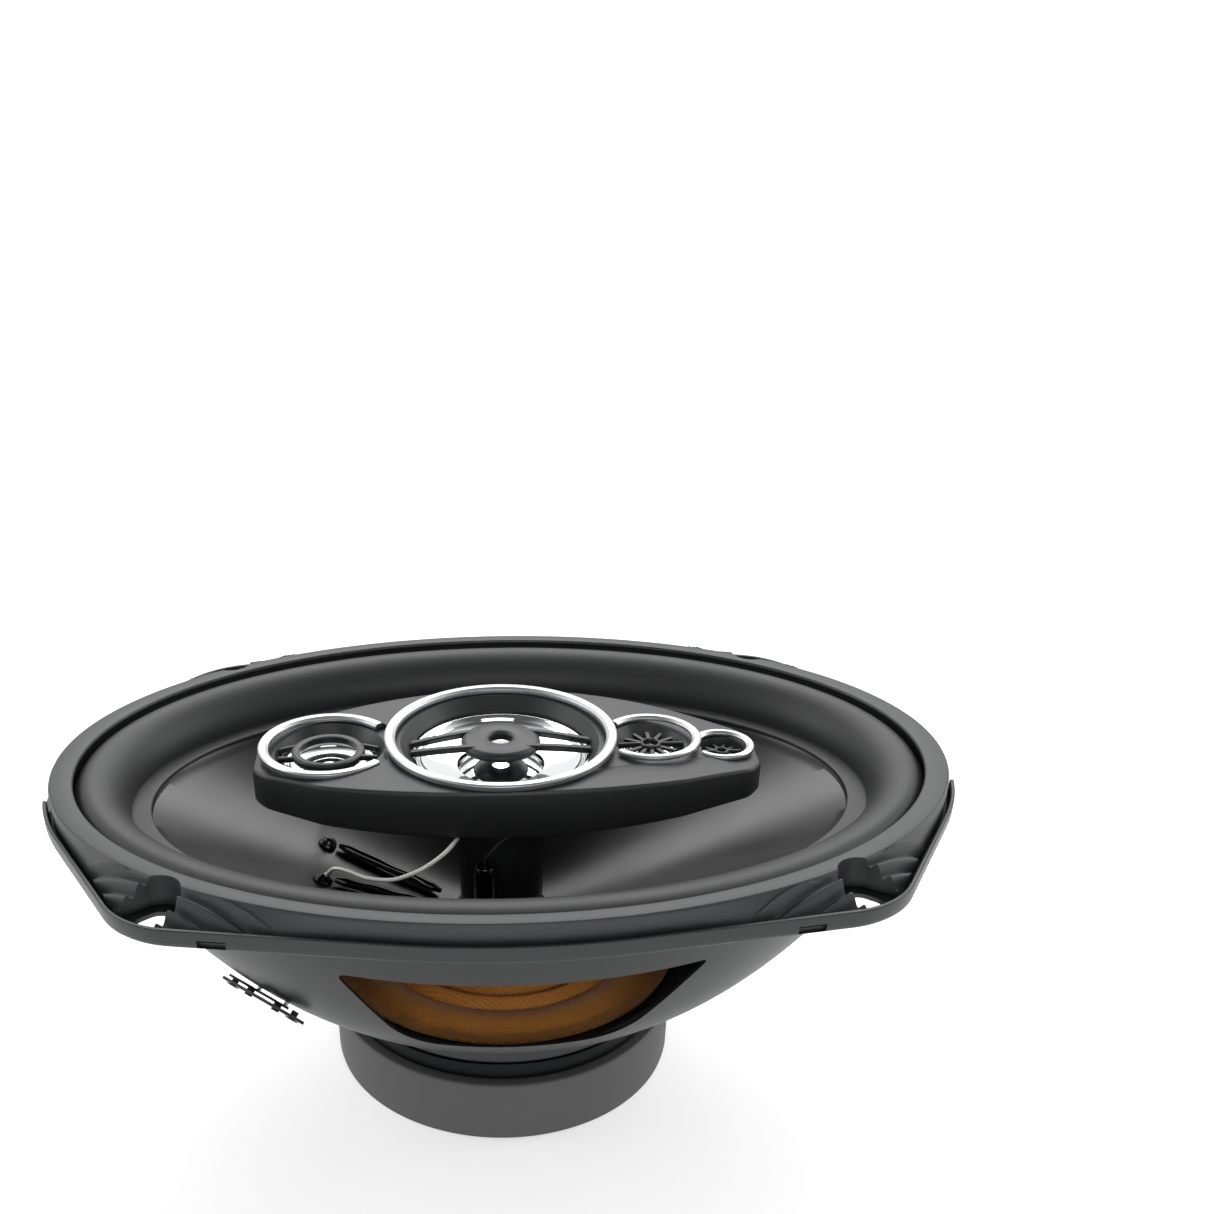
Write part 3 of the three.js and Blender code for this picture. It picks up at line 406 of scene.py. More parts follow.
def skin(name, rows, material, ends="join", around=True, sharp=30):
    """A mesh over rows of points in mm. ends is join, cap, or pole; around closes each row."""
    points = np.concatenate(rows) * MM
    count, steps = len(rows), len(rows[0])
    faces = []
    for j in range(count if ends == "join" else count - 1):
        here, after = j * steps, ((j + 1) % count) * steps
        for i in range(steps if around else steps - 1):
            k = (i + 1) % steps
            faces.append((here + i, here + k, after + k, after + i))
    if ends == "cap":
        faces += [tuple(range(steps)), tuple(range((count - 1) * steps, count * steps))]
    if not around:
        faces += [tuple(j * steps for j in range(count)),
                  tuple(j * steps + steps - 1 for j in range(count))]
    mesh = bpy.data.meshes.new(name)
    mesh.from_pydata(points.tolist(), [], faces)
    piece = bpy.data.objects.new(name, mesh)
    bpy.context.scene.collection.objects.link(piece)
    mesh.materials.append(material)
    return tidy(piece, sharp)


def tidy(piece, sharp=30):
    """Merge doubled points, point the faces outwards, and shade smooth up to an angle."""
    shape = bmesh.new()
    shape.from_mesh(piece.data)
    bmesh.ops.remove_doubles(shape, verts=shape.verts, dist=2e-6)
    bmesh.ops.dissolve_degenerate(shape, edges=shape.edges, dist=1e-7)
    bmesh.ops.recalc_face_normals(shape, faces=shape.faces)
    shape.to_mesh(piece.data)
    shape.free()
    piece.data.shade_smooth()
    piece.data.set_sharp_from_angle(angle=math.radians(sharp))
    return piece


# %% Turning, cutting and joining
def turned(name, profile, material, radius=0.3, steps=96, x=0, y=0, ends="join", sharp=30):
    """A round piece from [radius, height] points in mm; a profile from axis to axis ends in poles."""
    rows = [circle(r, z, steps, x, y) for r, z in profile]
    poles = ends == "pole"
    return skin(name, rounded(rows, radius, closed=not poles), material, ends, sharp=sharp)


def settle(piece):
    """Keep the result of a piece's modifiers as its mesh."""
    view = bpy.context.evaluated_depsgraph_get()
    shape = bpy.data.meshes.new_from_object(piece.evaluated_get(view))
    old, piece.data = piece.data, shape
    piece.modifiers.clear()
    bpy.data.meshes.remove(old)
    return piece


def combine(piece, others, operation="DIFFERENCE", sharp=30):
    for other in others:
        join = piece.modifiers.new("join", "BOOLEAN")
        join.operation, join.object, join.solver = operation, other, "EXACT"
    settle(piece)
    for other in others:
        bpy.data.objects.remove(other)
    piece.data.shade_smooth()
    piece.data.set_sharp_from_angle(angle=math.radians(sharp))
    return piece


def prism(name, plan, low, high, material=None):
    """A straight-sided block over a plan of [x, y] points."""
    plan = np.asarray(plan, float)
    return skin(name, [loop(plan[:, 0], plan[:, 1], z) for z in (low, high)], material, "cap")


def place(piece, nodes=(), body=ROOT, slot=None):
    """Say which body a piece rides on, and which plain CAD nodes it stands for."""
    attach(piece, body)
    if nodes:
        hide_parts(*nodes)
    print(piece.name, len(piece.data.polygons), "faces on", body)
    return piece


# %% [markdown]
# ## The basket
#
# The basket is one sheet of steel, pressed into an oval bowl with a flat flange, a turned-up lip
# and a round foot. Its lip follows an ellipse with four rounded ears, so its outline is found the
# way a string pulled round five shapes would lie: in each direction, the farthest point wins.

# %% The frame's outline, seen from the middle
def frame_radius(angles, offset):
    """The outline's distance from the middle at each angle, in mm."""
    facing = np.linspace(0, 2 * math.pi, 7200, endpoint=False)
    normal = np.stack([np.cos(facing), np.sin(facing)], -1)
    best = oval(*FRAME, 0, 7200)[:, :2]
    for sx, sy in CORNERS:
        ear = np.array([sx * EAR[0], sy * EAR[1]]) + EAR_R * normal
        farther = (ear * normal).sum(1) > (best * normal).sum(1)
        best = np.where(farther[:, None], ear, best)
    best = best + offset * normal
    ring = np.vstack([best, best[:1]])
    along = np.concatenate([[0], np.cumsum(np.hypot(*np.diff(ring, axis=0).T))])
    even = np.linspace(0, along[-1], 20000, endpoint=False)
    x, y = (np.interp(even, along, ring[:, k]) for k in (0, 1))
    return np.interp(angles, np.arctan2(y, x), np.hypot(x, y), period=2 * math.pi)


def oval_radius(angles, a, b):
    return 1 / np.hypot(np.cos(angles) / a, np.sin(angles) / b)


SWEEP = directions(480)


def spoke(radius, z, angles=None):
    """A loop at a distance from the middle, with its points on even spokes."""
    angles = SWEEP if angles is None else angles
    return loop(radius * np.cos(angles), radius * np.sin(angles), z)


# %% The bowl
def bowl_loop(rise, wall):
    swell = math.sqrt(rise)
    a, b = (BOWL_FOOT_R + (side - BOWL_FOOT_R) * swell for side in BOWL)
    return spoke(oval_radius(SWEEP, a - wall, b - wall),
                 BOWL_FOOT_Z + (FLANGE_Z - SHEET - BOWL_FOOT_Z) * rise)


def oval_spoke(a, b, z):
    return spoke(oval_radius(SWEEP, a, b), z)


outside, inside = frame_radius(SWEEP, 0), frame_radius(SWEEP, -SHEET)
rises = np.linspace(0, 1, 22) ** 1.5
section = [
    (spoke(inside, LIP_Z), 0.4), (spoke(inside, FLANGE_Z), 0.8), (oval_spoke(*BOWL, FLANGE_Z), 1.5)]
section += [(bowl_loop(rise, SHEET), 0) for rise in rises[::-1] if rise < 0.985]
section += [
    (oval_spoke(PLATE_R - 2.3, PLATE_R - 2.3, BOWL_FOOT_Z - 0.5), 0.5),
    (oval_spoke(PLATE_R - 2.7, PLATE_R - 2.7, PLATE_Z + SHEET), 0.8),
    (oval_spoke(GAP_R + 4, GAP_R + 4, PLATE_Z + SHEET), 0.3),
    (oval_spoke(GAP_R + 4, GAP_R + 4, PLATE_Z), 0.3),
    (oval_spoke(PLATE_R - 0.5, PLATE_R - 0.5, PLATE_Z), 1.2),
    (oval_spoke(PLATE_R, PLATE_R, BOWL_FOOT_Z - 1.8), 0.7)]
section += [(bowl_loop(rise, 0), 0.8 if rise == 0 else 0) for rise in rises]
section += [(spoke(outside, FLANGE_Z - SHEET), 1.5), (spoke(outside, LIP_Z), 0.4)]
basket = skin("basket_pressing", rounded([r for r, _ in section], [w for _, w in section]),
              coated_steel, sharp=35)
print("basket before cutting:", len(basket.data.polygons), "faces")

# %% [markdown]
# ## Windows, screw slots and clip slots
#
# The press cuts the two long windows that let the air behind the cone breathe, the four slotted
# screw holes, narrow slots at the foot of the lip for a grille's clips, and the gap in the lip
# at both ends. Each is a real opening, so each is
# cut with a Boolean modifier, whose exact solver keeps the sheet's thickness in view.

# %% Plans of the cutters
def soft_plan(corners, radius, steps=8):
    """A closed plan whose corners are rounded, each by its own radius."""
    rows = [np.array([[x, y]], float) for x, y in corners]
    return np.concatenate(rounded(rows, list(radius), steps))


def at_corner(plan, sx, sy):
    """Move a plan from a screw hole's own axes, with x pointing outwards, to a corner."""
    turn = math.atan2(sy * HOLE[1], sx * HOLE[0])
    c, s = math.cos(turn), math.sin(turn)
    plan = np.asarray(plan, float)
    return np.stack([c * plan[:, 0] - s * plan[:, 1] + sx * HOLE[0],
                     s * plan[:, 0] + c * plan[:, 1] + sy * HOLE[1]], -1)


half_turn = np.linspace(-math.pi / 2, math.pi / 2, 13)
slot_end = np.stack([1.2 + 3.3 * np.cos(half_turn), 3.3 * np.sin(half_turn)], -1)
screw_slot = np.concatenate([slot_end, -slot_end])
window = soft_plan([(-25.5, 42.6), (0, 42), (27, 42.6), (46, 68.8), (0, 68.2), (-41, 68.8)],
                   [9, 30, 9, 2.2, 30, 3.5])

# %% Cut the basket
cutters = []
for side in (-1, 1):
    rows = [loop(-side * window[:, 0], side * y, window[:, 1]) for y in (42, 95)]
    cutters.append(skin("window_cutter", rows, None, "cap"))
for sx, sy in CORNERS:
    cutters.append(prism("slot_cutter", at_corner(screw_slot, sx, sy), FLANGE_Z - 3, FLANGE_Z + 2))
    turn = -sx * sy * 0.16
    c, s = math.cos(turn), math.sin(turn)
    bar = [(sx * 66.3 + c * u - s * v, sy * 79.2 + s * u + c * v)
           for u, v in ((-3.25, -6), (3.25, -6), (3.25, 6), (-3.25, 6))]
    cutters.append(prism("clip_cutter", bar, FLANGE_Z - 0.9, FLANGE_Z + 1.4))
for side in (-1, 1):
    bar = [(side * FRAME[0] + u, v) for u, v in ((-4, -13), (4, -13), (4, 13), (-4, 13))]
    cutters.append(prism("end_cutter", bar, FLANGE_Z + 0.15, LIP_Z + 1))
combine(basket, cutters, sharp=35)
basket.data.materials.clear()
basket.data.materials.append(coated_steel)
place(basket, ["basket"], ROOT, "pressed_steel")

# %% [markdown]
# ## The trim ring
#
# A plastic ring covers the edge of the surround. Its flat top is an even oval band, and at each
# ear a fan slopes down to the frame's lip. Ridges run out of the screw hole's notch along the
# oval and bend away to the lip, and the screw hole is left open in a round-ended notch. The fan
# is a rule: its height depends only on the distance from the oval and on how far a point lies
# beside the screw hole, so the rows can be worked out from it.

# %% The height of a fan
def fan_height(x, y, out, share):
    """out is the distance from the oval in mm, and share runs from 0 at the oval to 1 at the lip."""
    slope = TRIM_Z - 0.6 + (LIP_Z - 1.6 - TRIM_Z + 0.6) * share
    far = math.hypot(*HOLE)
    beside = np.min([np.abs(sx * HOLE[0] * y - sy * HOLE[1] * x) / far
                     + 99 * ((sx * x < 0) | (sy * y < 0)) for sx, sy in CORNERS], axis=0)
    near = np.clip((38 - beside) / 8, 0, 1)
    step = (out - 0.6 - 0.004 * beside ** 2) / 3.1
    wave = np.where((step > -0.4) & (step < 3.6), -np.cos(2 * np.pi * step), 0)
    return slope + 1.15 * wave * near * near * (3 - 2 * near)


# %% The ring's rows
FINE = directions(960)


def oval_fine(e, z):
    return spoke(oval_radius(FINE, TRIM_INNER[0] + e, TRIM_INNER[1] + e), z, FINE)


edge, fit = oval_radius(FINE, *TRIM), frame_radius(FINE, -SHEET - 0.9)
away = np.stack([np.cos(FINE) / TRIM[0] ** 2, np.sin(FINE) / TRIM[1] ** 2], -1)
away /= np.linalg.norm(away, axis=1, keepdims=True)
across = away[:, 0] * np.cos(FINE) + away[:, 1] * np.sin(FINE)
under = oval_radius(FINE, TRIM_INNER[0] + 1.8, TRIM_INNER[1] + 1.4)
foot = FLANGE_Z + FIT_GAP
rows = [(spoke(under, foot, FINE), 0.2), (spoke(under, TRIM_Z - 1.3, FINE), 0.3),
        (oval_fine(0.4, TRIM_Z - 1.3), 0.2), (oval_fine(0, TRIM_Z - 0.7), 0.2),
        (oval_fine(0.3, TRIM_Z), 0.3), (oval_fine(2.4, TRIM_Z), 0)]
rows += [(spoke(edge - 0.4, TRIM_Z, FINE), 0.2), (spoke(edge, TRIM_Z - 0.6, FINE), 0.2)]
for share in np.linspace(0, 1, 37)[1:]:
    reach = edge + (fit - edge) * share
    out = np.maximum(reach - edge, 0) * across
    x, y = reach * np.cos(FINE), reach * np.sin(FINE)
    rows.append((loop(x, y, fan_height(x, y, out, share)), 0))
rows += [(spoke(fit, foot + 1, FINE), 0), (spoke(fit, foot, FINE), 0.3)]
trim = skin("trim_ring_moulding", rounded([r for r, _ in rows], [w for _, w in rows], 2),
            grained_abs, sharp=38)

# %% Cut a notch over each screw hole
bow = np.linspace(math.pi / 2, 3 * math.pi / 2, 25)
notch = np.concatenate([np.stack([5.6 * np.cos(bow) - 1.8, 5.6 * np.sin(bow)], -1),
                        [(22, -7.5), (22, 7.5)]])
combine(trim, [prism("notch_cutter", at_corner(notch, sx, sy), FLANGE_Z - 2, TRIM_Z + 4)
               for sx, sy in CORNERS], sharp=38)
place(trim, ["trim_ring"], ROOT, "trim_plastic")

# %% [markdown]
# ## The cone and its surround
#
# The cone is paper under a polished film, nearly straight from its neck to its rim. The surround
# is a half roll of butyl rubber, which lets the cone slide a few millimetres. The rubber lies
# between both bodies, so each of its points gets a weight, 0 at its foot on the frame and 1 at its
# strip on the cone, with an even turn between them across the roll.

# %% The cone
shares = np.linspace(0, 1, 26)
flare = [(NECK_R + (CONE_SEEN[0] - NECK_R) * s ** CONE_CURVE,
          NECK_R + (CONE_SEEN[1] - NECK_R) * s ** CONE_CURVE,
          NECK_Z + (CONE_RIM_Z - 0.9 - NECK_Z) * s) for s in shares]
rows = [oval(*CONE, CONE_RIM_Z), oval(CONE_SEEN[0] + 0.6, CONE_SEEN[1] + 0.6, CONE_RIM_Z)]
rows += [oval(a, b, z) for a, b, z in flare[::-1]]
rows += [oval(a, b, z - CONE_WALL * 1.2) for a, b, z in flare]
rows += [oval(*CONE, CONE_RIM_Z - CONE_WALL)]
cone = skin("cone_body", rows, film, sharp=30)
place(cone, ["cone"], MOVING, "cone_film")


# %% Weights for a soft piece between the frame and the cone
def blend_weights(piece, weight):
    """Work out a weight for each point, 0 towards the frame and 1 towards the cone, and print its range."""
    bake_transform(piece)
    points = np.array([v.co for v in piece.data.vertices]) / MM
    value = np.clip(weight(points), 0, 1)
    value = value * value * (3 - 2 * value)
    print(piece.name, "blends", round(float(value.min()), 2), "to", round(float(value.max()), 2))


def oval_size(points, ratio):
    """The half length of the oval through a point, on ovals of one width-to-length ratio."""
    return np.hypot(points[:, 0], points[:, 1] / ratio)


# %% The surround
rubber, foot, strip = 0.9, FLANGE_Z + FIT_GAP, CONE_RIM_Z + FIT_GAP + 0.9
tilt = (foot + rubber - strip) / 2
middle = [(r + c) / 2 for r, c in zip(ROLL, CONE)]


def roll_rows(thin, angles):
    """Half a roll over a base that leans down to the cone, drawn in by a thickness."""
    rows = []
    for angle in angles:
        c, s = math.cos(angle), math.sin(angle)
        a, b = (m + ((r - k) / 2 - thin) * c for m, r, k in zip(middle, ROLL, CONE))
        rows.append(oval(a, b, strip + tilt * (1 + c) + (ROLL_CREST_Z - strip - tilt - thin) * s))
    return rows


sweep = np.linspace(0, math.pi, 25)
rows = [oval(ROLL[0] + 0.4, ROLL[1] + 0.3, foot), oval(ROLL[0] + 0.4, ROLL[1] + 0.3, foot + rubber)]
rows += roll_rows(0, sweep)
rows += rounded([oval(CONE[0] - 0.4, CONE[1] - 0.4, strip), oval(*CONE_SEEN, strip),
                 oval(*CONE_SEEN, CONE_RIM_Z + FIT_GAP)], [0, 0.6, 0.2], closed=False)
rows += [oval(*CONE, CONE_RIM_Z + FIT_GAP)]
rows += roll_rows(rubber, sweep[::-1][1:-1])
rows += [oval(ROLL[0] - 0.6, ROLL[1] - 0.6, foot)]
surround = skin("surround_rubber", rows, butyl, sharp=40)
outer, inner = ROLL[0] - 1, CONE[0]
blend_weights(surround, lambda p: (outer - oval_size(p, ROLL[1] / ROLL[0])) / (outer - inner - 1))
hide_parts("surround")

# %% [markdown]
# ## Growing shapes with Geometry Nodes
#
# Some parts are easier to say than to draw: a disc that waves, a rope of strands, a ring of fins.
# Each gets a small node tree with named sizes. The tree's result is kept as a plain mesh, because
# later steps and other programs only know meshes.

# %% A helper that runs a tree and keeps its mesh
def start_tree(name, sizes):
    tree = bpy.data.node_groups.new(name, "GeometryNodeTree")
    tree.interface.new_socket("Geometry", in_out="INPUT", socket_type="NodeSocketGeometry")
    for label in sizes:
        tree.interface.new_socket(label, in_out="INPUT", socket_type="NodeSocketFloat")
    tree.interface.new_socket("Geometry", in_out="OUTPUT", socket_type="NodeSocketGeometry")
    return tree, tree.nodes.new("NodeGroupInput").outputs


def end_tree(tree, geometry, material):
    real = add_node(tree, "GeometryNodeRealizeInstances", {"Geometry": geometry})
    done = add_node(tree, "GeometryNodeSetMaterial", {"Geometry": real.outputs[0], "Material": material})
    add_node(tree, "NodeGroupOutput", {0: done.outputs[0]})


def grow(name, tree, sizes, points=(), sharp=30):
    """Run a tree on a line of points in mm, with its sizes in mm, and keep the mesh."""
    mesh = bpy.data.meshes.new(name)
    line = [(i, i + 1) for i in range(len(points) - 1)]
    mesh.from_pydata([tuple(c * MM for c in p) for p in points], line, [])
    piece = bpy.data.objects.new(name, mesh)
    bpy.context.scene.collection.objects.link(piece)
    modifier = piece.modifiers.new("grow", "NODES")
    modifier.node_group = tree
    sockets = {s.name: s.identifier for s in tree.interface.items_tree if s.in_out == "INPUT"}
    for label, size in sizes.items():
        modifier[sockets[label]] = float(size)
    settle(piece)
    return tidy(piece, sharp)


def maths(tree, kind, a, b=0.0, c=0.0):
    return add_node(tree, "ShaderNodeMath", {0: a, 1: b, 2: c}, operation=kind).outputs[0]


# %% [markdown]
# ## The spider
#
# The spider is the cloth disc under the cone that keeps the voice coil in the middle. Its height
# is a rule, a wave that depends only on the distance from the centre, so a node tree bends a flat
# grid into it: one side of the grid becomes the angle and the other the distance. The first wave
# by the rim is wide, and the next ones are narrow.

# %% A tree for a waved disc
tree, size = start_tree("waved_disc", ["Inner", "Outer", "Height", "Rim Wave", "Wave", "Depth", "Cloth"])
span = maths(tree, "SUBTRACT", size["Outer"], size["Inner"])
grid = add_node(tree, "GeometryNodeMeshGrid", {
    "Size X": 2 * math.pi, "Size Y": span, "Vertices X": 193, "Vertices Y": 121})
part = add_node(tree, "ShaderNodeSeparateXYZ", {0: add_node(tree, "GeometryNodeInputPosition").outputs[0]})
centre = maths(tree, "MULTIPLY", maths(tree, "ADD", size["Outer"], size["Inner"]), 0.5)
radius = maths(tree, "ADD", part.outputs["Y"], centre)
inward = maths(tree, "SUBTRACT", maths(tree, "SUBTRACT", size["Outer"], 3.2 * MM), radius)
rim_hump = maths(tree, "SINE", maths(
    tree, "MULTIPLY", maths(tree, "DIVIDE", inward, size["Rim Wave"]), math.pi))
past = maths(tree, "SUBTRACT", inward, size["Rim Wave"])
ripple = maths(tree, "SINE", maths(
    tree, "MULTIPLY", maths(tree, "DIVIDE", past, size["Wave"]), -2 * math.pi))
in_rim = maths(tree, "MULTIPLY", maths(tree, "GREATER_THAN", inward, 0.0),
               maths(tree, "LESS_THAN", inward, size["Rim Wave"]))
flat_hub = maths(tree, "GREATER_THAN", radius, maths(tree, "ADD", size["Inner"], 4.5 * MM))
in_ripple = maths(tree, "MULTIPLY", maths(tree, "GREATER_THAN", past, 0.0), flat_hub)
wave = maths(tree, "ADD", maths(tree, "MULTIPLY", rim_hump, in_rim),
             maths(tree, "MULTIPLY", ripple, in_ripple))
height = maths(tree, "MULTIPLY_ADD", wave, size["Depth"], size["Height"])
bent = add_node(tree, "ShaderNodeCombineXYZ", {
    "X": maths(tree, "MULTIPLY", radius, maths(tree, "COSINE", part.outputs["X"])),
    "Y": maths(tree, "MULTIPLY", radius, maths(tree, "SINE", part.outputs["X"])), "Z": height})
disc = add_node(tree, "GeometryNodeSetPosition", {
    "Geometry": grid.outputs["Mesh"], "Position": bent.outputs[0]})
closed = add_node(tree, "GeometryNodeMergeByDistance", {"Geometry": disc.outputs[0], "Distance": 2e-6})
down = add_node(tree, "ShaderNodeCombineXYZ", {"Z": maths(tree, "MULTIPLY", size["Cloth"], -1.0)})
under = add_node(tree, "GeometryNodeExtrudeMesh", {
    "Mesh": closed.outputs[0], "Offset": down.outputs[0], "Offset Scale": 1.0, "Individual": False})
both = tree.nodes.new("GeometryNodeJoinGeometry")
tree.links.new(closed.outputs[0], both.inputs[0])
tree.links.new(under.outputs[0], both.inputs[0])
sealed = add_node(tree, "GeometryNodeMergeByDistance", {"Geometry": both.outputs[0], "Distance": 2e-6})
end_tree(tree, sealed.outputs[0], spider_cotton)

# %% The spider
spider = grow("spider_cloth", tree, {
    "Inner": 13.35 * MM, "Outer": SPIDER_R * MM, "Height": SPIDER_Z * MM, "Rim Wave": 9.6 * MM,
    "Wave": 5.6 * MM, "Depth": 1.45 * MM, "Cloth": 0.7 * MM}, sharp=60)
blend_weights(spider, lambda p: (SPIDER_R - 4 - np.hypot(p[:, 0], p[:, 1])) / (SPIDER_R - 4 - 19))
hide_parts("spider")

# %% [markdown]
# ## The motor
#
# A ring magnet sits between two steel plates, in a rubber boot that closes it from behind. Only
# the boot and the edge of the front plate show. These are turned shapes, so each is a section
# spun round the axis, with its edges softened.

# %% Boot and top plate
MAGNET_R, BOOT_R, BOOT_Z = 44.6, 48.2, 18.8
boot = turned("magnet_boot_rubber", [
    (0, 0), (BOOT_R, 0), (BOOT_R, BOOT_Z), (MAGNET_R + FIT_GAP, BOOT_Z), (MAGNET_R + FIT_GAP, 1.9),
    (0, 1.9)], boot_rubber, [0, 1.6, 1.0, 0.3, 0.3, 0], 192, ends="pole")
place(boot, ["magnet_boot"], ROOT, "boot_rubber")
top_plate = turned("front_plate_steel", [
    (GAP_R, TOP_PLATE_Z), (PLATE_R - 0.6, TOP_PLATE_Z), (PLATE_R - 0.6, PLATE_Z - FIT_GAP),
    (GAP_R, PLATE_Z - FIT_GAP)], dark_zinc, 0.5, 192)
place(top_plate, ["top_plate"], ROOT, "plated_steel")

# %% [markdown]
# ## The bridge
#
# The bridge is a hollow shell with a curved plan and a top that falls away to both tips. Its plan
# is two long arcs and two chamfered tips, so the shell is rows of that plan, drawn in a little
# further for each row, with heights from the curve of its side view. A back cover closes it.

# %% Plan and side view of the bridge
def arc_points(inset, sign, steps=44):
    """One long side of the plan, from the right shoulder to the left one."""
    high, shoulder = POD["bulge"] - inset, POD["shoulder"][1] - inset
    run = POD["shoulder"][0]
    radius = (run ** 2 + (high - shoulder) ** 2) / (2 * (high - shoulder))
    swing = math.asin(run / radius)
    angle = np.linspace(swing, -swing, steps)
    return np.stack([radius * np.sin(angle), sign * (high - radius + radius * np.cos(angle))], -1)


def bridge_plan(inset, extra=9):
    """The closed plan, drawn in by an inset, with extra points on its long straight parts."""
    right, left = POD["right"], POD["left"]
    face, side = POD["tip"] - inset * 0.3, POD["corner"] - inset * 0.8
    back = POD["chamfer"] + inset * 0.7
    far, near = arc_points(inset, 1), arc_points(inset, -1)[::-1]
    corners = [*far, (left + back, side), (left + inset, face), (left + inset, -face), (left + back, -side),
               *near, (right - back, -side), (right - inset, -face), (right - inset, face), (right - back, side)]
    soft = max(0.2, 1.4 - inset * 0.15)
    tip, arc = [soft * 1.5, soft, soft, soft * 1.5], [0] * len(far)
    plan = soft_plan(corners, arc + tip + arc + tip, 4)
    result = []
    for here, after in zip(plan, np.roll(plan, -1, axis=0)):
        pieces = extra if np.hypot(*(after - here)) > 6 else 1
        result += [here + (after - here) * k / pieces for k in range(pieces)]
    return np.array(result)


def bend(x, middle, left, right):
    """Height on the side view's curve, from the middle's height to a tip's."""
    share = np.where(x < 0, x / POD["left"], x / POD["right"])
    tip = np.where(x < 0, left, right)
    t = np.clip(share, 0, 1.05)
    return middle + (tip - middle) * t ** 2


def top_height(x):
    return bend(x, POD_TOP_Z, POD["left_top"], POD["right_top"])


def foot_height(x):
    return bend(x, POD_FOOT_Z, POD["tip_foot"], POD["tip_foot"])


# %% The bridge's block and its hollow
def bridge_loop(inset, drop, foot=False):
    plan = bridge_plan(inset)
    z = foot_height(plan[:, 0]) + drop if foot else top_height(plan[:, 0]) - drop
    return loop(plan[:, 0], plan[:, 1], z)


rows = [bridge_loop(0.5, 0, True), bridge_loop(0, 0.9, True), bridge_loop(0, 1.1)]
rows += [bridge_loop(0.12, 0.55), bridge_loop(0.5, 0.12), bridge_loop(1.1, 0)]
rows += [bridge_loop(inset, 0) for inset in (2.4, 5, 8.5)]
housing = skin("bridge_shell", rows, bridge_abs, "cap")
deep = bridge_plan(POD_SKIN)
hollow = skin("hollow", [loop(deep[:, 0], deep[:, 1], 70), bridge_loop(POD_SKIN, POD_SKIN)], None, "cap")
seats = []
for d in DRIVERS.values():
    seat = turned("seat", [(0, d["dome_z"] + 0.5), (d["ring"] + FIT_GAP, d["dome_z"] + 0.5),
                           (d["ring"] + FIT_GAP, 99), (0, 99)], None, 0, 96, d["x"], ends="pole")
    seats.append(seat)
combine(hollow, seats)

# %% Pockets for the rings and funnels for the drivers
cutters = [hollow]
for name, d in DRIVERS.items():
    funnel = [(0, 70), (d["bore"], 70), (d["bore"], d["z"] - FUNNEL_DEPTH), (d["funnel"], d["z"] + 0.4),
              (d["funnel"], 99), (0, 99)]
    cutters.append(turned("funnel", funnel, None, 0, 128, d["x"], ends="pole"))
    pocket = turned("pocket", [(0, d["z"] - FIT_GAP), (d["ring"] + FIT_GAP, d["z"] - FIT_GAP),
                               (d["ring"] + FIT_GAP, 99), (0, 99)], None, 0, 128, d["x"], ends="pole")
    cutters.append(pocket)
    bigger = {"tweeter": "midrange", "small_tweeter": "midrange", "tiny_tweeter": "small_tweeter"}.get(name)
    if bigger:
        big = DRIVERS[bigger]
        collar = turned("collar", [(0, 60), (big["ring"] + FIT_GAP, 60), (big["ring"] + FIT_GAP, 99.5),
                                   (0, 99.5)], None, 0, 128, big["x"], ends="pole")
        combine(pocket, [collar])
combine(housing, cutters, sharp=32)
housing.data.materials.clear()
housing.data.materials.append(bridge_abs)
place(housing, ["pod_housing"], ROOT, "bridge_plastic")

# %% [markdown]
# ## Under the bridge
#
# The back cover is a thin plate that follows the bridge's foot, with a deep dish in the middle
# for the midrange's magnet. The dish stands on a plain round post. Both are smooth black ABS.

# %% Back cover and post
POST_R, POST_TOP_Z, DISH_R, DISH_Z = 11.4, 72, 19, 80


def cover_loop(lift):
    plan = bridge_plan(POD_SKIN + FIT_GAP)
    return loop(plan[:, 0], plan[:, 1], foot_height(plan[:, 0]) + lift)


cover = skin("bridge_back_cover", [cover_loop(0.2), cover_loop(1.1)], None, "cap")
dish = turned("dish", [
    (0, POST_TOP_Z + FIT_GAP), (POST_R, POST_TOP_Z + FIT_GAP), (DISH_R - 1.2, DISH_Z - 1.6),
    (DISH_R, DISH_Z), (DISH_R, POD_FOOT_Z + 0.9), (0, POD_FOOT_Z + 0.9)], None,
    [0, 0.8, 2.0, 0.6, 0.3, 0], 96, ends="pole")
well = turned("well", [(0, DISH_Z - 0.4), (DISH_R - 1.8, DISH_Z - 0.4), (DISH_R - 1.8, 99), (0, 99)],
              None, 0, 96, ends="pole")
combine(cover, [dish], "UNION")
combine(cover, [well])
cover.data.materials.clear()
cover.data.materials.append(guard_abs)
place(cover, ["pod_back_cover"], ROOT, "bridge_plastic")
post = turned("centre_post_moulding", [
    (2.8, PLATE_Z + FIT_GAP), (POST_R, PLATE_Z + FIT_GAP), (POST_R, POST_TOP_Z), (0, POST_TOP_Z), (0, 33.3),
    (2.8, 33.3)], guard_abs, [0.2, 0.4, 0.5, 0, 0, 0.2], 96)
place(post, ["centre_post"], ROOT, "bridge_plastic")

# %% [markdown]
# ## Rings round the drivers
#
# Each driver wears a turned aluminium ring with a flat face and broken edges. A smaller ring is
# open where it would run into its bigger neighbour, so its rows stop at two cut ends.

# %% The rings
def ring_rows(d, angle):
    inner, outer, low = d["ring"] - d["width"], d["ring"], d["z"]
    high = low + d["height"]
    profile = [(inner, low), (outer, low), (outer, high - 0.35), (outer - 0.4, high),
               (inner + 0.75, high), (inner + 0.45, high - 0.25), (inner, high - 0.55)]
    return rounded([loop(d["x"] + r * np.cos(angle), r * np.sin(angle), z) for r, z in profile], 0.12)


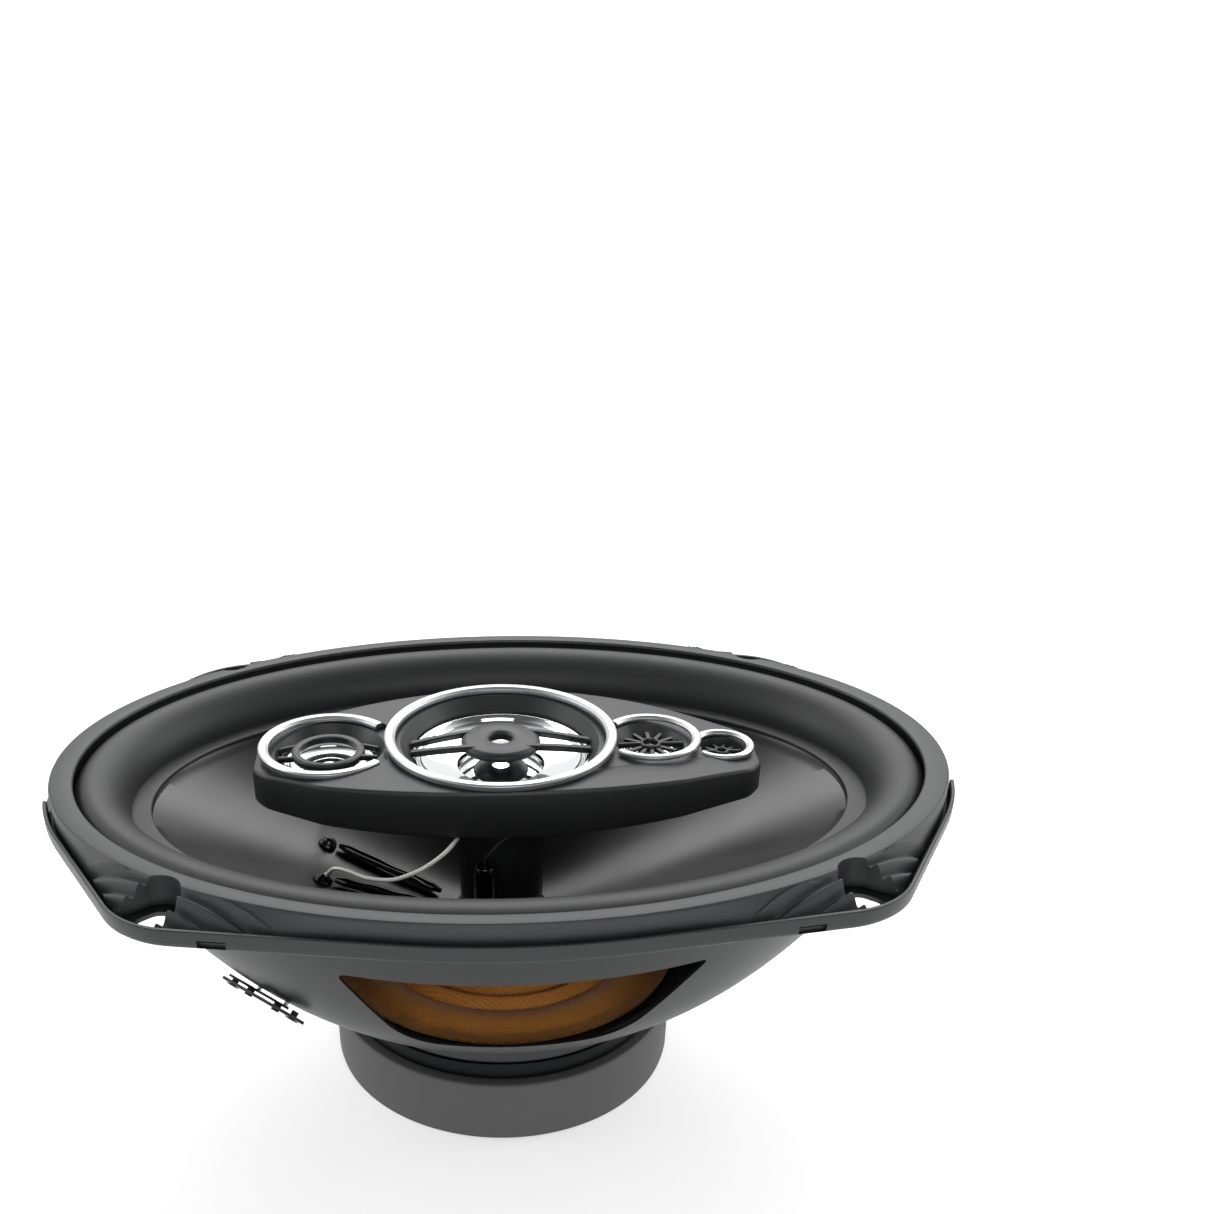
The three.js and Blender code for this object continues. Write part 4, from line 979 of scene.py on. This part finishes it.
for name, d in DRIVERS.items():
    gap, facing = (math.radians(d[key]) for key in ("gap", "facing"))
    if d["gap"]:
        angle = facing + np.linspace(gap, 2 * math.pi - gap, 145)
    else:
        angle = directions(192)
    ring = skin(f"{name}_trim_ring", ring_rows(d, angle), turned_aluminium(f"turned_aluminium_{name}", d["x"]),
                around=not d["gap"], sharp=25)
    place(ring, [f"{name}_ring"], ROOT, "satin_silver")

# %% [markdown]
# ## Horns and domes
#
# A dome of thin metallised film sits at the bottom of a mirror-bright horn, which is a shallow
# bowl with a stepped rim. A mirror shows every flat facet, so both have many more rows than their
# CAD solids, on smooth curves. Each dome rides on its own body, because it is what moves.

# %% Horns and domes
def horn_profile(d):
    rim, throat = d["bore"] - FIT_GAP, d["dome"] + 0.5
    edge = min(1.6, (rim - throat) * 0.4)
    foot = d["dome_z"] - 0.8
    up = d["z"] - 4.2 - foot
    wall = [(throat, foot), (rim, foot), (rim, foot + up), (rim - edge * 0.4, foot + up)]
    bowl = [(throat + (rim - edge - throat) * math.sin(t), foot + up * (0.3 + 0.5 * (1 - math.cos(t))))
            for t in np.linspace(math.pi / 2, 0, 15)]
    return wall + bowl


for name, d in DRIVERS.items():
    profile = horn_profile(d)
    horn = turned(f"{name}_mirror_horn", profile, mirror, [0.1, 0.1, 0.15, 0.1] + [0] * 15, 128, d["x"], sharp=40)
    place(horn, [f"{name}_horn"], ROOT, "bright_chrome")
    r, tall, z = d["dome"], d["dome"] * 0.26, d["dome_z"]
    sphere = (r * r + tall * tall) / (2 * tall)
    fall = [sphere - math.sqrt(sphere ** 2 - (r * t) ** 2) for t in np.linspace(0, 1, 16)]
    above = [(r * t, z + tall - f) for t, f in zip(np.linspace(0, 1, 16), fall)]
    below = [(max(0, q * (r - 0.5) / r), max(z, h - 0.5)) for q, h in above[::-1]]
    dome = turned(f"{name}_mirror_dome", above + below, mirror, 0, 96, d["x"], ends="pole", sharp=40)
    place(dome, [f"{name}_dome"], f"{name}_diaphragm", "bright_chrome")

# %% [markdown]
# ## Guards
#
# Thin bars cross each horn and carry a hub over the dome, which keeps fingers off it. The bars
# rise a little towards the hub. The smallest drivers also have short fins round the hub, and
# fins repeat, so a node tree sets one small bar on each point of a circle.

# %% Bars and hubs
def guard_bar(d, ys, wide, tall, start, reach, low, rise, side):
    """A bar from the hub to the funnel's wall; ys are its places at both, and it is highest at the hub."""
    rows = []
    for share in np.linspace(0, 1, 13):
        x = side * (start + (reach - start) * share)
        y = ys[0] + (ys[1] - ys[0]) * share
        z = low + rise * (1 - share ** 1.3)
        h, w, c = tall / 2, wide / 2, 0.3
        section = [(-w, -h + c), (-w + c, -h), (w - c, -h), (w, -h + c), (w, h - c), (w - c, h),
                   (-w + c, h), (-w, h - c)]
        rows.append(loop(np.full(8, d["x"] + x), y + np.array([p[0] for p in section]),
                         z + np.array([p[1] for p in section])))
    return skin("bar", rows, guard_abs, "cap")


def wall_reach(d, z, y=0):
    share = max(0, (z - (d["z"] - FUNNEL_DEPTH)) / (FUNNEL_DEPTH + 0.4))
    radius = d["bore"] + (d["funnel"] - d["bore"]) * share - 0.15
    return math.sqrt(radius ** 2 - y ** 2)


def finish_guard(name, hub, bars):
    combine(hub, bars, "UNION", sharp=35)
    hub.data.materials.clear()
    hub.data.materials.append(guard_abs)
    place(hub, [f"{name}_guard"], ROOT, "bridge_plastic")


d = DRIVERS["midrange"]
low = d["z"] - 2.2
hub = turned("midrange_guard_bars", [(3, low - 0.3), (10.3, low - 0.3), (10.4, low + 1.2), (9.2, low + 1.9),
                                     (6.6, low + 2.3), (4.0, low + 2.2), (3, low + 1.7)],
             guard_abs, 0.35, 96)
finish_guard("midrange", hub, [
    guard_bar(d, (4.6 * way, 2.6 * way), 2.0, 1.6, 6.5, wall_reach(d, low - 1, 3.6), low - 0.9, 2.2, side)
    for way in (-1, 1) for side in (-1, 1)])
d = DRIVERS["tweeter"]
low = d["z"] - 2.2
hub = turned("tweeter_guard_bars", [(7.4, low - 0.3), (9.6, low - 0.3), (9.6, low + 1.3), (8.8, low + 1.7),
                                    (7.4, low + 1.5)], guard_abs, 0.25, 96, d["x"])
finish_guard("tweeter", hub, [guard_bar(d, (3.4 * way, 2.6 * way), 1.4, 1.5, 8.0, wall_reach(d, low, 3.4),
                                        low, 0.6, side) for way in (-1, 1) for side in (-1, 1)])

# %% A tree for fins round a hub
tree, size = start_tree("fins_round_a_hub", [
    "Centre X", "Height", "Inner", "Outer", "Thick", "Tall", "Count"])
points = add_node(tree, "GeometryNodeMeshCircle", {"Vertices": size["Count"], "Radius": maths(
    tree, "MULTIPLY", maths(tree, "ADD", size["Inner"], size["Outer"]), 0.5)})
fin_size = add_node(tree, "ShaderNodeCombineXYZ", {
    "X": maths(tree, "SUBTRACT", size["Outer"], size["Inner"]), "Y": size["Thick"], "Z": size["Tall"]})
fin = add_node(tree, "GeometryNodeMeshCube", {"Size": fin_size.outputs[0]})
aimed = add_node(tree, "FunctionNodeAlignRotationToVector", {
    "Vector": add_node(tree, "GeometryNodeInputPosition").outputs[0]}, axis="X")
fins = add_node(tree, "GeometryNodeInstanceOnPoints", {
    "Points": points.outputs[0], "Instance": fin.outputs[0], "Rotation": aimed.outputs[0]})
spot = add_node(tree, "ShaderNodeCombineXYZ", {"X": size["Centre X"], "Z": size["Height"]})
moved = add_node(tree, "GeometryNodeTransform", {
    "Geometry": fins.outputs[0], "Translation": spot.outputs[0]})
end_tree(tree, moved.outputs[0], guard_abs)

# %% Fins and hubs of the two smallest drivers
for name, hub_r, count in (("small_tweeter", 2.8, 12), ("tiny_tweeter", 2.0, 10)):
    d = DRIVERS[name]
    low = d["z"] - 2.2
    hub = turned(f"{name}_guard_fins", [(hub_r - 0.9, low - 0.4), (hub_r, low - 0.4), (hub_r, low + 0.9),
                                        (hub_r - 0.3, low + 1.2), (hub_r - 0.7, low + 1.2), (hub_r - 0.9, low + 0.7)],
                 guard_abs, 0.12, 48, d["x"])
    bars = [guard_bar(d, (0, 0), 1.1, 1.4, hub_r - 0.6, wall_reach(d, low, 0.5), low + 0.3, 0.1, side)
            for side in (-1, 1)]
    fins = grow("fins", tree, {"Centre X": d["x"] * MM, "Height": (low + 0.2) * MM, "Inner": (hub_r - 0.4) * MM,
                               "Outer": (d["bore"] - 0.4) * MM,
                               "Thick": (0.95 if count > 10 else 0.75) * MM, "Tall": 0.8 * MM,
                               "Count": count})
    finish_guard(name, hub, bars + [fins])

# %% [markdown]
# ## Braided leads
#
# Two leads run from under the bridge to eyelets on the cone. Each is a rope of tinned copper
# tinsel, limp enough to follow the cone millions of times. A rope is strands that turn round a
# path, so a node tree takes the path, tilts it evenly along its length, and sweeps four small
# circles along it. The tilt is what makes the strands twist.

# %% A tree for a rope
tree, size = start_tree("rope_on_a_path", ["Strand", "Spread", "Lay", "Step"])
inputs = next(n for n in tree.nodes if n.bl_idname == "NodeGroupInput").outputs
line = add_node(tree, "GeometryNodeMeshToCurve", {0: inputs["Geometry"]})
even = add_node(tree, "GeometryNodeResampleCurve", {
    "Curve": line.outputs[0], "Length": size["Step"]}, mode="LENGTH")
along = tree.nodes.new("GeometryNodeSplineParameter").outputs["Length"]
twist = maths(tree, "MULTIPLY", maths(tree, "DIVIDE", along, size["Lay"]), 2 * math.pi)
tilted = add_node(tree, "GeometryNodeSetCurveTilt", {"Curve": even.outputs[0], "Tilt": twist})
spots = add_node(tree, "GeometryNodeMeshCircle", {"Vertices": 4, "Radius": size["Spread"]})
strand = add_node(tree, "GeometryNodeCurvePrimitiveCircle", {"Resolution": 8, "Radius": size["Strand"]})
bundle = add_node(tree, "GeometryNodeInstanceOnPoints", {
    "Points": spots.outputs[0], "Instance": strand.outputs[0]})
section = add_node(tree, "GeometryNodeRealizeInstances", {0: bundle.outputs[0]})
rope = add_node(tree, "GeometryNodeCurveToMesh", {
    "Curve": tilted.outputs[0], "Profile Curve": section.outputs[0], "Fill Caps": True})
end_tree(tree, rope.outputs[0], tinsel)


# %% Paths for the leads
def smooth_path(points, between=10):
    """A Catmull-Rom line through points, with more points between each two."""
    p = np.array(points, float)
    p = np.concatenate([[2 * p[0] - p[1]], p, [2 * p[-1] - p[-2]]])
    result = []
    for a, b, c, d in zip(p, p[1:], p[2:], p[3:]):
        for t in np.linspace(0, 1, between, endpoint=False):
            result.append(0.5 * (2 * b + (c - a) * t + (2 * a - 5 * b + 4 * c - d) * t ** 2
                                 + (3 * b - a - 3 * c + d) * t ** 3))
    return np.array(result + [p[-2]])


def on_cone(share, degrees):
    """A place on the cone's upper face, and the way out of it."""
    def at(s, angle):
        a, b = (NECK_R + (side - NECK_R) * s ** CONE_CURVE for side in CONE_SEEN)
        c, n = math.cos(angle), math.sin(angle)
        reach = math.hypot(a * c, b * n)
        return np.array([a * a * c / reach, b * b * n / reach, NECK_Z + (CONE_RIM_Z - 0.9 - NECK_Z) * s])
    angle = math.radians(degrees)
    point = at(share, angle)
    out = np.cross(at(share + 0.01, angle) - point, at(share, angle + 0.01) - point)
    return point, out / np.linalg.norm(out)


TERMINAL_FACING, TERMINAL_LEAN, TERMINAL_Z = 228, 39, 46.5
swell = math.sqrt((TERMINAL_Z - BOWL_FOOT_Z) / (FLANGE_Z - SHEET - BOWL_FOOT_Z))
wall = [BOWL_FOOT_R + (side - BOWL_FOOT_R) * swell for side in BOWL]
c, s = (f(math.radians(TERMINAL_FACING)) for f in (math.cos, math.sin))
reach = math.hypot(wall[0] * c, wall[1] * s)
TERMINALS = (Matrix.Translation((wall[0] ** 2 * c / reach * MM, wall[1] ** 2 * s / reach * MM,
                                 TERMINAL_Z * MM))
             @ Matrix.Rotation(math.radians(TERMINAL_FACING), 4, "Z")
             @ Matrix.Rotation(math.radians(TERMINAL_LEAN), 4, "Y"))


def at_terminals(out, along, up):
    return np.array(TERMINALS @ Vector((out * MM, along * MM, up * MM))) / MM


def rear_path(side):
    point, out = on_cone(0.45, -side * 156)
    edge, end = at_terminals(-6, side * 5, -2.6), point - out * 2.4
    droop = end - out * 5 + np.array([-1, 0, -2.5])
    return [at_terminals(1.1, side * 5, -2.6), edge, (edge + droop) / 2 - np.array([0, 0, 1]), droop, end]


# %% The four leads
LEADS = {
    "front_lead_near": [
        (-10.5, -23.5, 82.4), (-11.6, -27.6, 82.2), (-14.5, -32, 80.9), (-18.6, -33.5, 78.2),
        (-22.8, -34.5, 76.3), (-28.2, -35.3, 75), (-34.4, -34, 74.9), (-39, -31.5, 75.5),
        (-42.2, -28.5, 74.7), (-44.1, -25, 71.9), (-45.4, -21, 68.3), (-46.3, -15.5, 64.6), (-47, -11.6, 62.4)],
    "front_lead_far": [
        (-11, 23.5, 82.4), (-13, 27.4, 82), (-17.5, 30.5, 79.6), (-24, 33, 77.6), (-30.5, 33, 77),
        (-36.5, 30, 76.6), (-41, 25.5, 74.8), (-44, 20.5, 71.4), (-45.8, 15.6, 67.2), (-46.6, 12, 63.2)],
    "rear_lead_near": rear_path(1), "rear_lead_far": rear_path(-1)}


def along_path(points, path):
    """How far along a path each point lies, from 0 to 1."""
    steps = np.concatenate([[0], np.cumsum(np.linalg.norm(np.diff(path, axis=0), axis=1))])
    nearest = np.array([np.argmin(((path - p) ** 2).sum(1)) for p in points])
    return steps[nearest] / steps[-1]


for name, points in LEADS.items():
    path = smooth_path(points)
    lead = grow(f"{name}_braid", tree, {"Strand": 0.33 * MM, "Spread": 0.27 * MM, "Lay": 3.2 * MM, "Step": 0.25 * MM},
                path, sharp=70)
    blend_weights(lead, lambda p: along_path(p, path))
    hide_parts(name)
    print(name, "is", round(float(np.linalg.norm(np.diff(path, axis=0), axis=1).sum()), 1), "mm long")


# %% [markdown]
# ## Eyelets, sleeves and glue
#
# Each lead passes through the cone in an eyelet under a blob of black contact glue, and a black
# sleeve carries its tail down to the voice coil. Glue is never even, so the blob and the sleeve
# are given a slow swelling that depends only on where each point lies.

# %% Round pieces along any axis
def tube_between(name, points, radii, material, sides=20):
    """A closed round piece along points in mm, with its own radius at each of them."""
    points = np.array(points, float)
    rows = []
    for i, point in enumerate(points):
        ahead = points[min(i + 1, len(points) - 1)] - points[max(i - 1, 0)]
        ahead /= np.linalg.norm(ahead)
        side = np.cross(ahead, (0.31, 0.17, 0.93))
        side /= np.linalg.norm(side)
        other = np.cross(ahead, side)
        angle = directions(sides)[:, None]
        lump = 1 + 0.05 * np.sin(3 * angle + point.sum()) + 0.04 * np.sin(2 * angle - point[2] * 1.3)
        rows.append(point + radii[i] * lump * (np.cos(angle) * side + np.sin(angle) * other))
    return skin(name, rows, material, "cap", sharp=50)


for side, where in ((-1, "near"), (1, "far")):
    point, out = on_cone(0.45, side * 156)
    heights = (0.3, 0.34, 0.9, 1.3, 1.9, 2.4, 2.6)
    blob = tube_between(f"eyelet_{where}_glue", [point + out * h for h in heights],
                        (2.5, 2.6, 2.5, 1.9, 1.35, 1.0, 0.4), glue, 32)
    place(blob, [f"eyelet_{where}"], MOVING, "black_glue")
    (top, top_out), (foot, foot_out) = on_cone(0.415, side * 156), on_cone(0.05, side * 163)
    ends = top + top_out * 1.5, foot + foot_out * 1.5
    stops = np.linspace(0, 1, 25)
    tail = tube_between(f"glue_bead_{where}_sleeve", [ends[0] + (ends[1] - ends[0]) * t for t in stops],
                        [1.3 * min(1, 6 * min(t, 1 - t) + 0.5) for t in stops], sleeve)
    place(tail, [f"glue_bead_{where}"], MOVING, "black_glue")

# %% [markdown]
# ## The crossover capacitor
#
# One small capacitor keeps low notes out of the tweeters. It hangs on the front of the post in a
# black shrink sleeve, with a bare wire up to the bridge.

# %% Capacitor and its wire
can = turned("capacitor_in_sleeve", [(0, 52), (2.5, 52), (2.8, 52.7), (2.65, 53.8), (2.8, 55), (2.8, 64.2),
                                     (2.6, 65.2), (2.2, 66), (0, 66)],
             sleeve, [0, 0.3, 0.3, 0.6, 0.5, 0.5, 0.4, 0.4, 0], 48, -5, -14.8, ends="pole")
place(can, ["capacitor"], ROOT, "boot_rubber")
wire_path = smooth_path([(-5, -14.8, 66.4), (-4.7, -15.6, 68.4), (-3.6, -18, 71.4), (-1, -22, 77),
                         (1.6, -25.2, 80.8), (2.6, -25.8, 82.5)], 8)
wire = tube_between("capacitor_bare_wire", wire_path, [0.36] * len(wire_path), zinc, 10)
place(wire, ["capacitor_lead"], ROOT, "plated_steel")

# %% [markdown]
# ## Terminals
#
# A strip of fibre board lies on the bowl over a cut-out. It carries two push-on blades of
# different widths, so that plus and minus can't be swapped, and two hollow rivets.

# %% Board, blades and rivets
def at_board(piece):
    piece.data.transform(TERMINALS)
    return tidy(piece)


def plate(name, out, along, up, depth, width, height, material, soft=0.25):
    half = depth / 2
    corners = [(along + a * width / 2, up + u * height / 2)
               for a, u in ((-1, -1), (1, -1), (1, 1), (-1, 1))]
    plan = soft_plan(corners, [soft * 3] * 4, 4)
    rows = [loop(out + x, plan[:, 0], plan[:, 1]) for x in (-half, half)]
    return skin(name, rows, material, "cap")


def peg(name, along, up, profile, material, steps=32):
    """A turned piece whose axis points out of the wall, from [radius, out] points."""
    angle = directions(steps)
    rows = [loop(out, along + r * np.cos(angle), up + r * np.sin(angle)) for r, out in profile]
    return skin(name, rows, material, "pole")


board = plate("terminal_fibre_board", 2.4, 0, 0, 0.8, 26, 8, fibre, 0.8)
combine(board, [plate("hole", 2.4, along, 0, 3, 2.6, 2.6, None) for along in (-11, -5, 5, 11)])
place(at_board(board), ["terminal_board"], ROOT, "fibre_board")
for name, along, wide in (("positive", -5, 6.3), ("negative", 5, 4.8)):
    blade = plate(f"terminal_blade_{name}_tab", 1.1, along, 2.5, 0.6, wide, 9, zinc, 0.3)
    combine(blade, [plate("pin", 2.1, along, 0, 2.4, 1.6, 1.6, None, 0.1)], "UNION")
    combine(blade, [peg("eye", along, 5, [(0, 0), (0.8, 0), (0.8, 4), (0, 4)], None)])
    blade.data.materials.clear()
    blade.data.materials.append(dark_zinc)
    place(at_board(blade), [f"terminal_blade_{name}"], ROOT, "plated_steel")
for number, along in ((1, -11), (2, 11)):
    rivet = peg(f"terminal_rivet_{number}_brass", along, 0, [
        (0, 0.8), (0.9, 0.8), (0.9, 2.85), (1.8, 2.9), (1.9, 3), (1.6, 3.2), (0.9, 3.25),
        (0.7, 3), (0, 2.95)],
        dark_zinc)
    place(at_board(rivet), [f"terminal_rivet_{number}"], ROOT, "plated_steel")

# %% [markdown]
# ## Rivets
#
# Four rivets clinch the basket to the front plate. They are one shape on the corners of a square,
# so a node tree makes one and sets it on the four points of a grid.

# %% Rivets on a square
tree, size = start_tree("rivets_on_a_square", ["Pitch", "Shank", "Head", "Bottom", "Seat", "Crown"])
corners = add_node(tree, "GeometryNodeMeshGrid", {
    "Size X": size["Pitch"], "Size Y": size["Pitch"], "Vertices X": 2, "Vertices Y": 2})
length = maths(tree, "SUBTRACT", size["Seat"], size["Bottom"])
shank = add_node(tree, "GeometryNodeMeshCylinder", {
    "Vertices": 32, "Radius": size["Shank"], "Depth": maths(tree, "ADD", length, 0.4 * MM)})
rise = add_node(tree, "ShaderNodeCombineXYZ", {"Z": maths(tree, "MULTIPLY", maths(
    tree, "ADD", size["Bottom"], maths(tree, "ADD", size["Seat"], 0.4 * MM)), 0.5)})
shank_up = add_node(tree, "GeometryNodeTransform", {
    "Geometry": shank.outputs[0], "Translation": rise.outputs[0]})
ball = add_node(tree, "GeometryNodeMeshUVSphere", {"Segments": 32, "Rings": 16, "Radius": size["Head"]})
flat = add_node(tree, "ShaderNodeCombineXYZ", {
    "X": 1.0, "Y": 1.0, "Z": maths(tree, "DIVIDE", size["Crown"], size["Head"])})
seat = add_node(tree, "ShaderNodeCombineXYZ", {"Z": size["Seat"]})
head = add_node(tree, "GeometryNodeTransform", {
    "Geometry": ball.outputs[0], "Translation": seat.outputs[0], "Scale": flat.outputs[0]})
whole = add_node(tree, "GeometryNodeMeshBoolean", {}, operation="UNION")
tree.links.new(head.outputs[0], whole.inputs[1])
tree.links.new(shank_up.outputs[0], whole.inputs[1])
rivets = add_node(tree, "GeometryNodeInstanceOnPoints", {
    "Points": corners.outputs[0], "Instance": whole.outputs[0]})
end_tree(tree, rivets.outputs[0], zinc)
rivets = grow("basket_rivets_clinched", tree, {
    "Pitch": 46 * MM, "Shank": 2.2 * MM, "Head": 3.6 * MM, "Bottom": (TOP_PLATE_Z + 1.4) * MM,
    "Seat": (PLATE_Z + SHEET + 0.7) * MM, "Crown": 0.9 * MM})
place(rivets, [f"basket_rivet_{i}" for i in (1, 2, 3, 4)], ROOT, "plated_steel")

# %% [markdown]
# ## Finishes for the hidden parts
#
# The magnet, the back plate, the coil and the small discs behind the tweeters keep their plain
# shapes, which are right for them. They still get their real materials, because they show when
# the speaker is taken apart.

# %% Materials for the parts that keep their shape
HIDDEN = {"back_plate": dark_zinc, "ferrite_magnet": ferrite, "midrange_magnet": ferrite, "post_screw": zinc,
          "voice_coil_former": kapton, "voice_coil_winding": copper, "tweeter_piezo_disc": zinc,
          "small_tweeter_piezo_disc": zinc, "tiny_tweeter_piezo_disc": zinc}
for node, material in HIDDEN.items():
    mesh = bpy.data.objects[node].data
    mesh.materials.clear()
    mesh.materials.append(material)
print("hidden parts with their own finish:", len(HIDDEN))
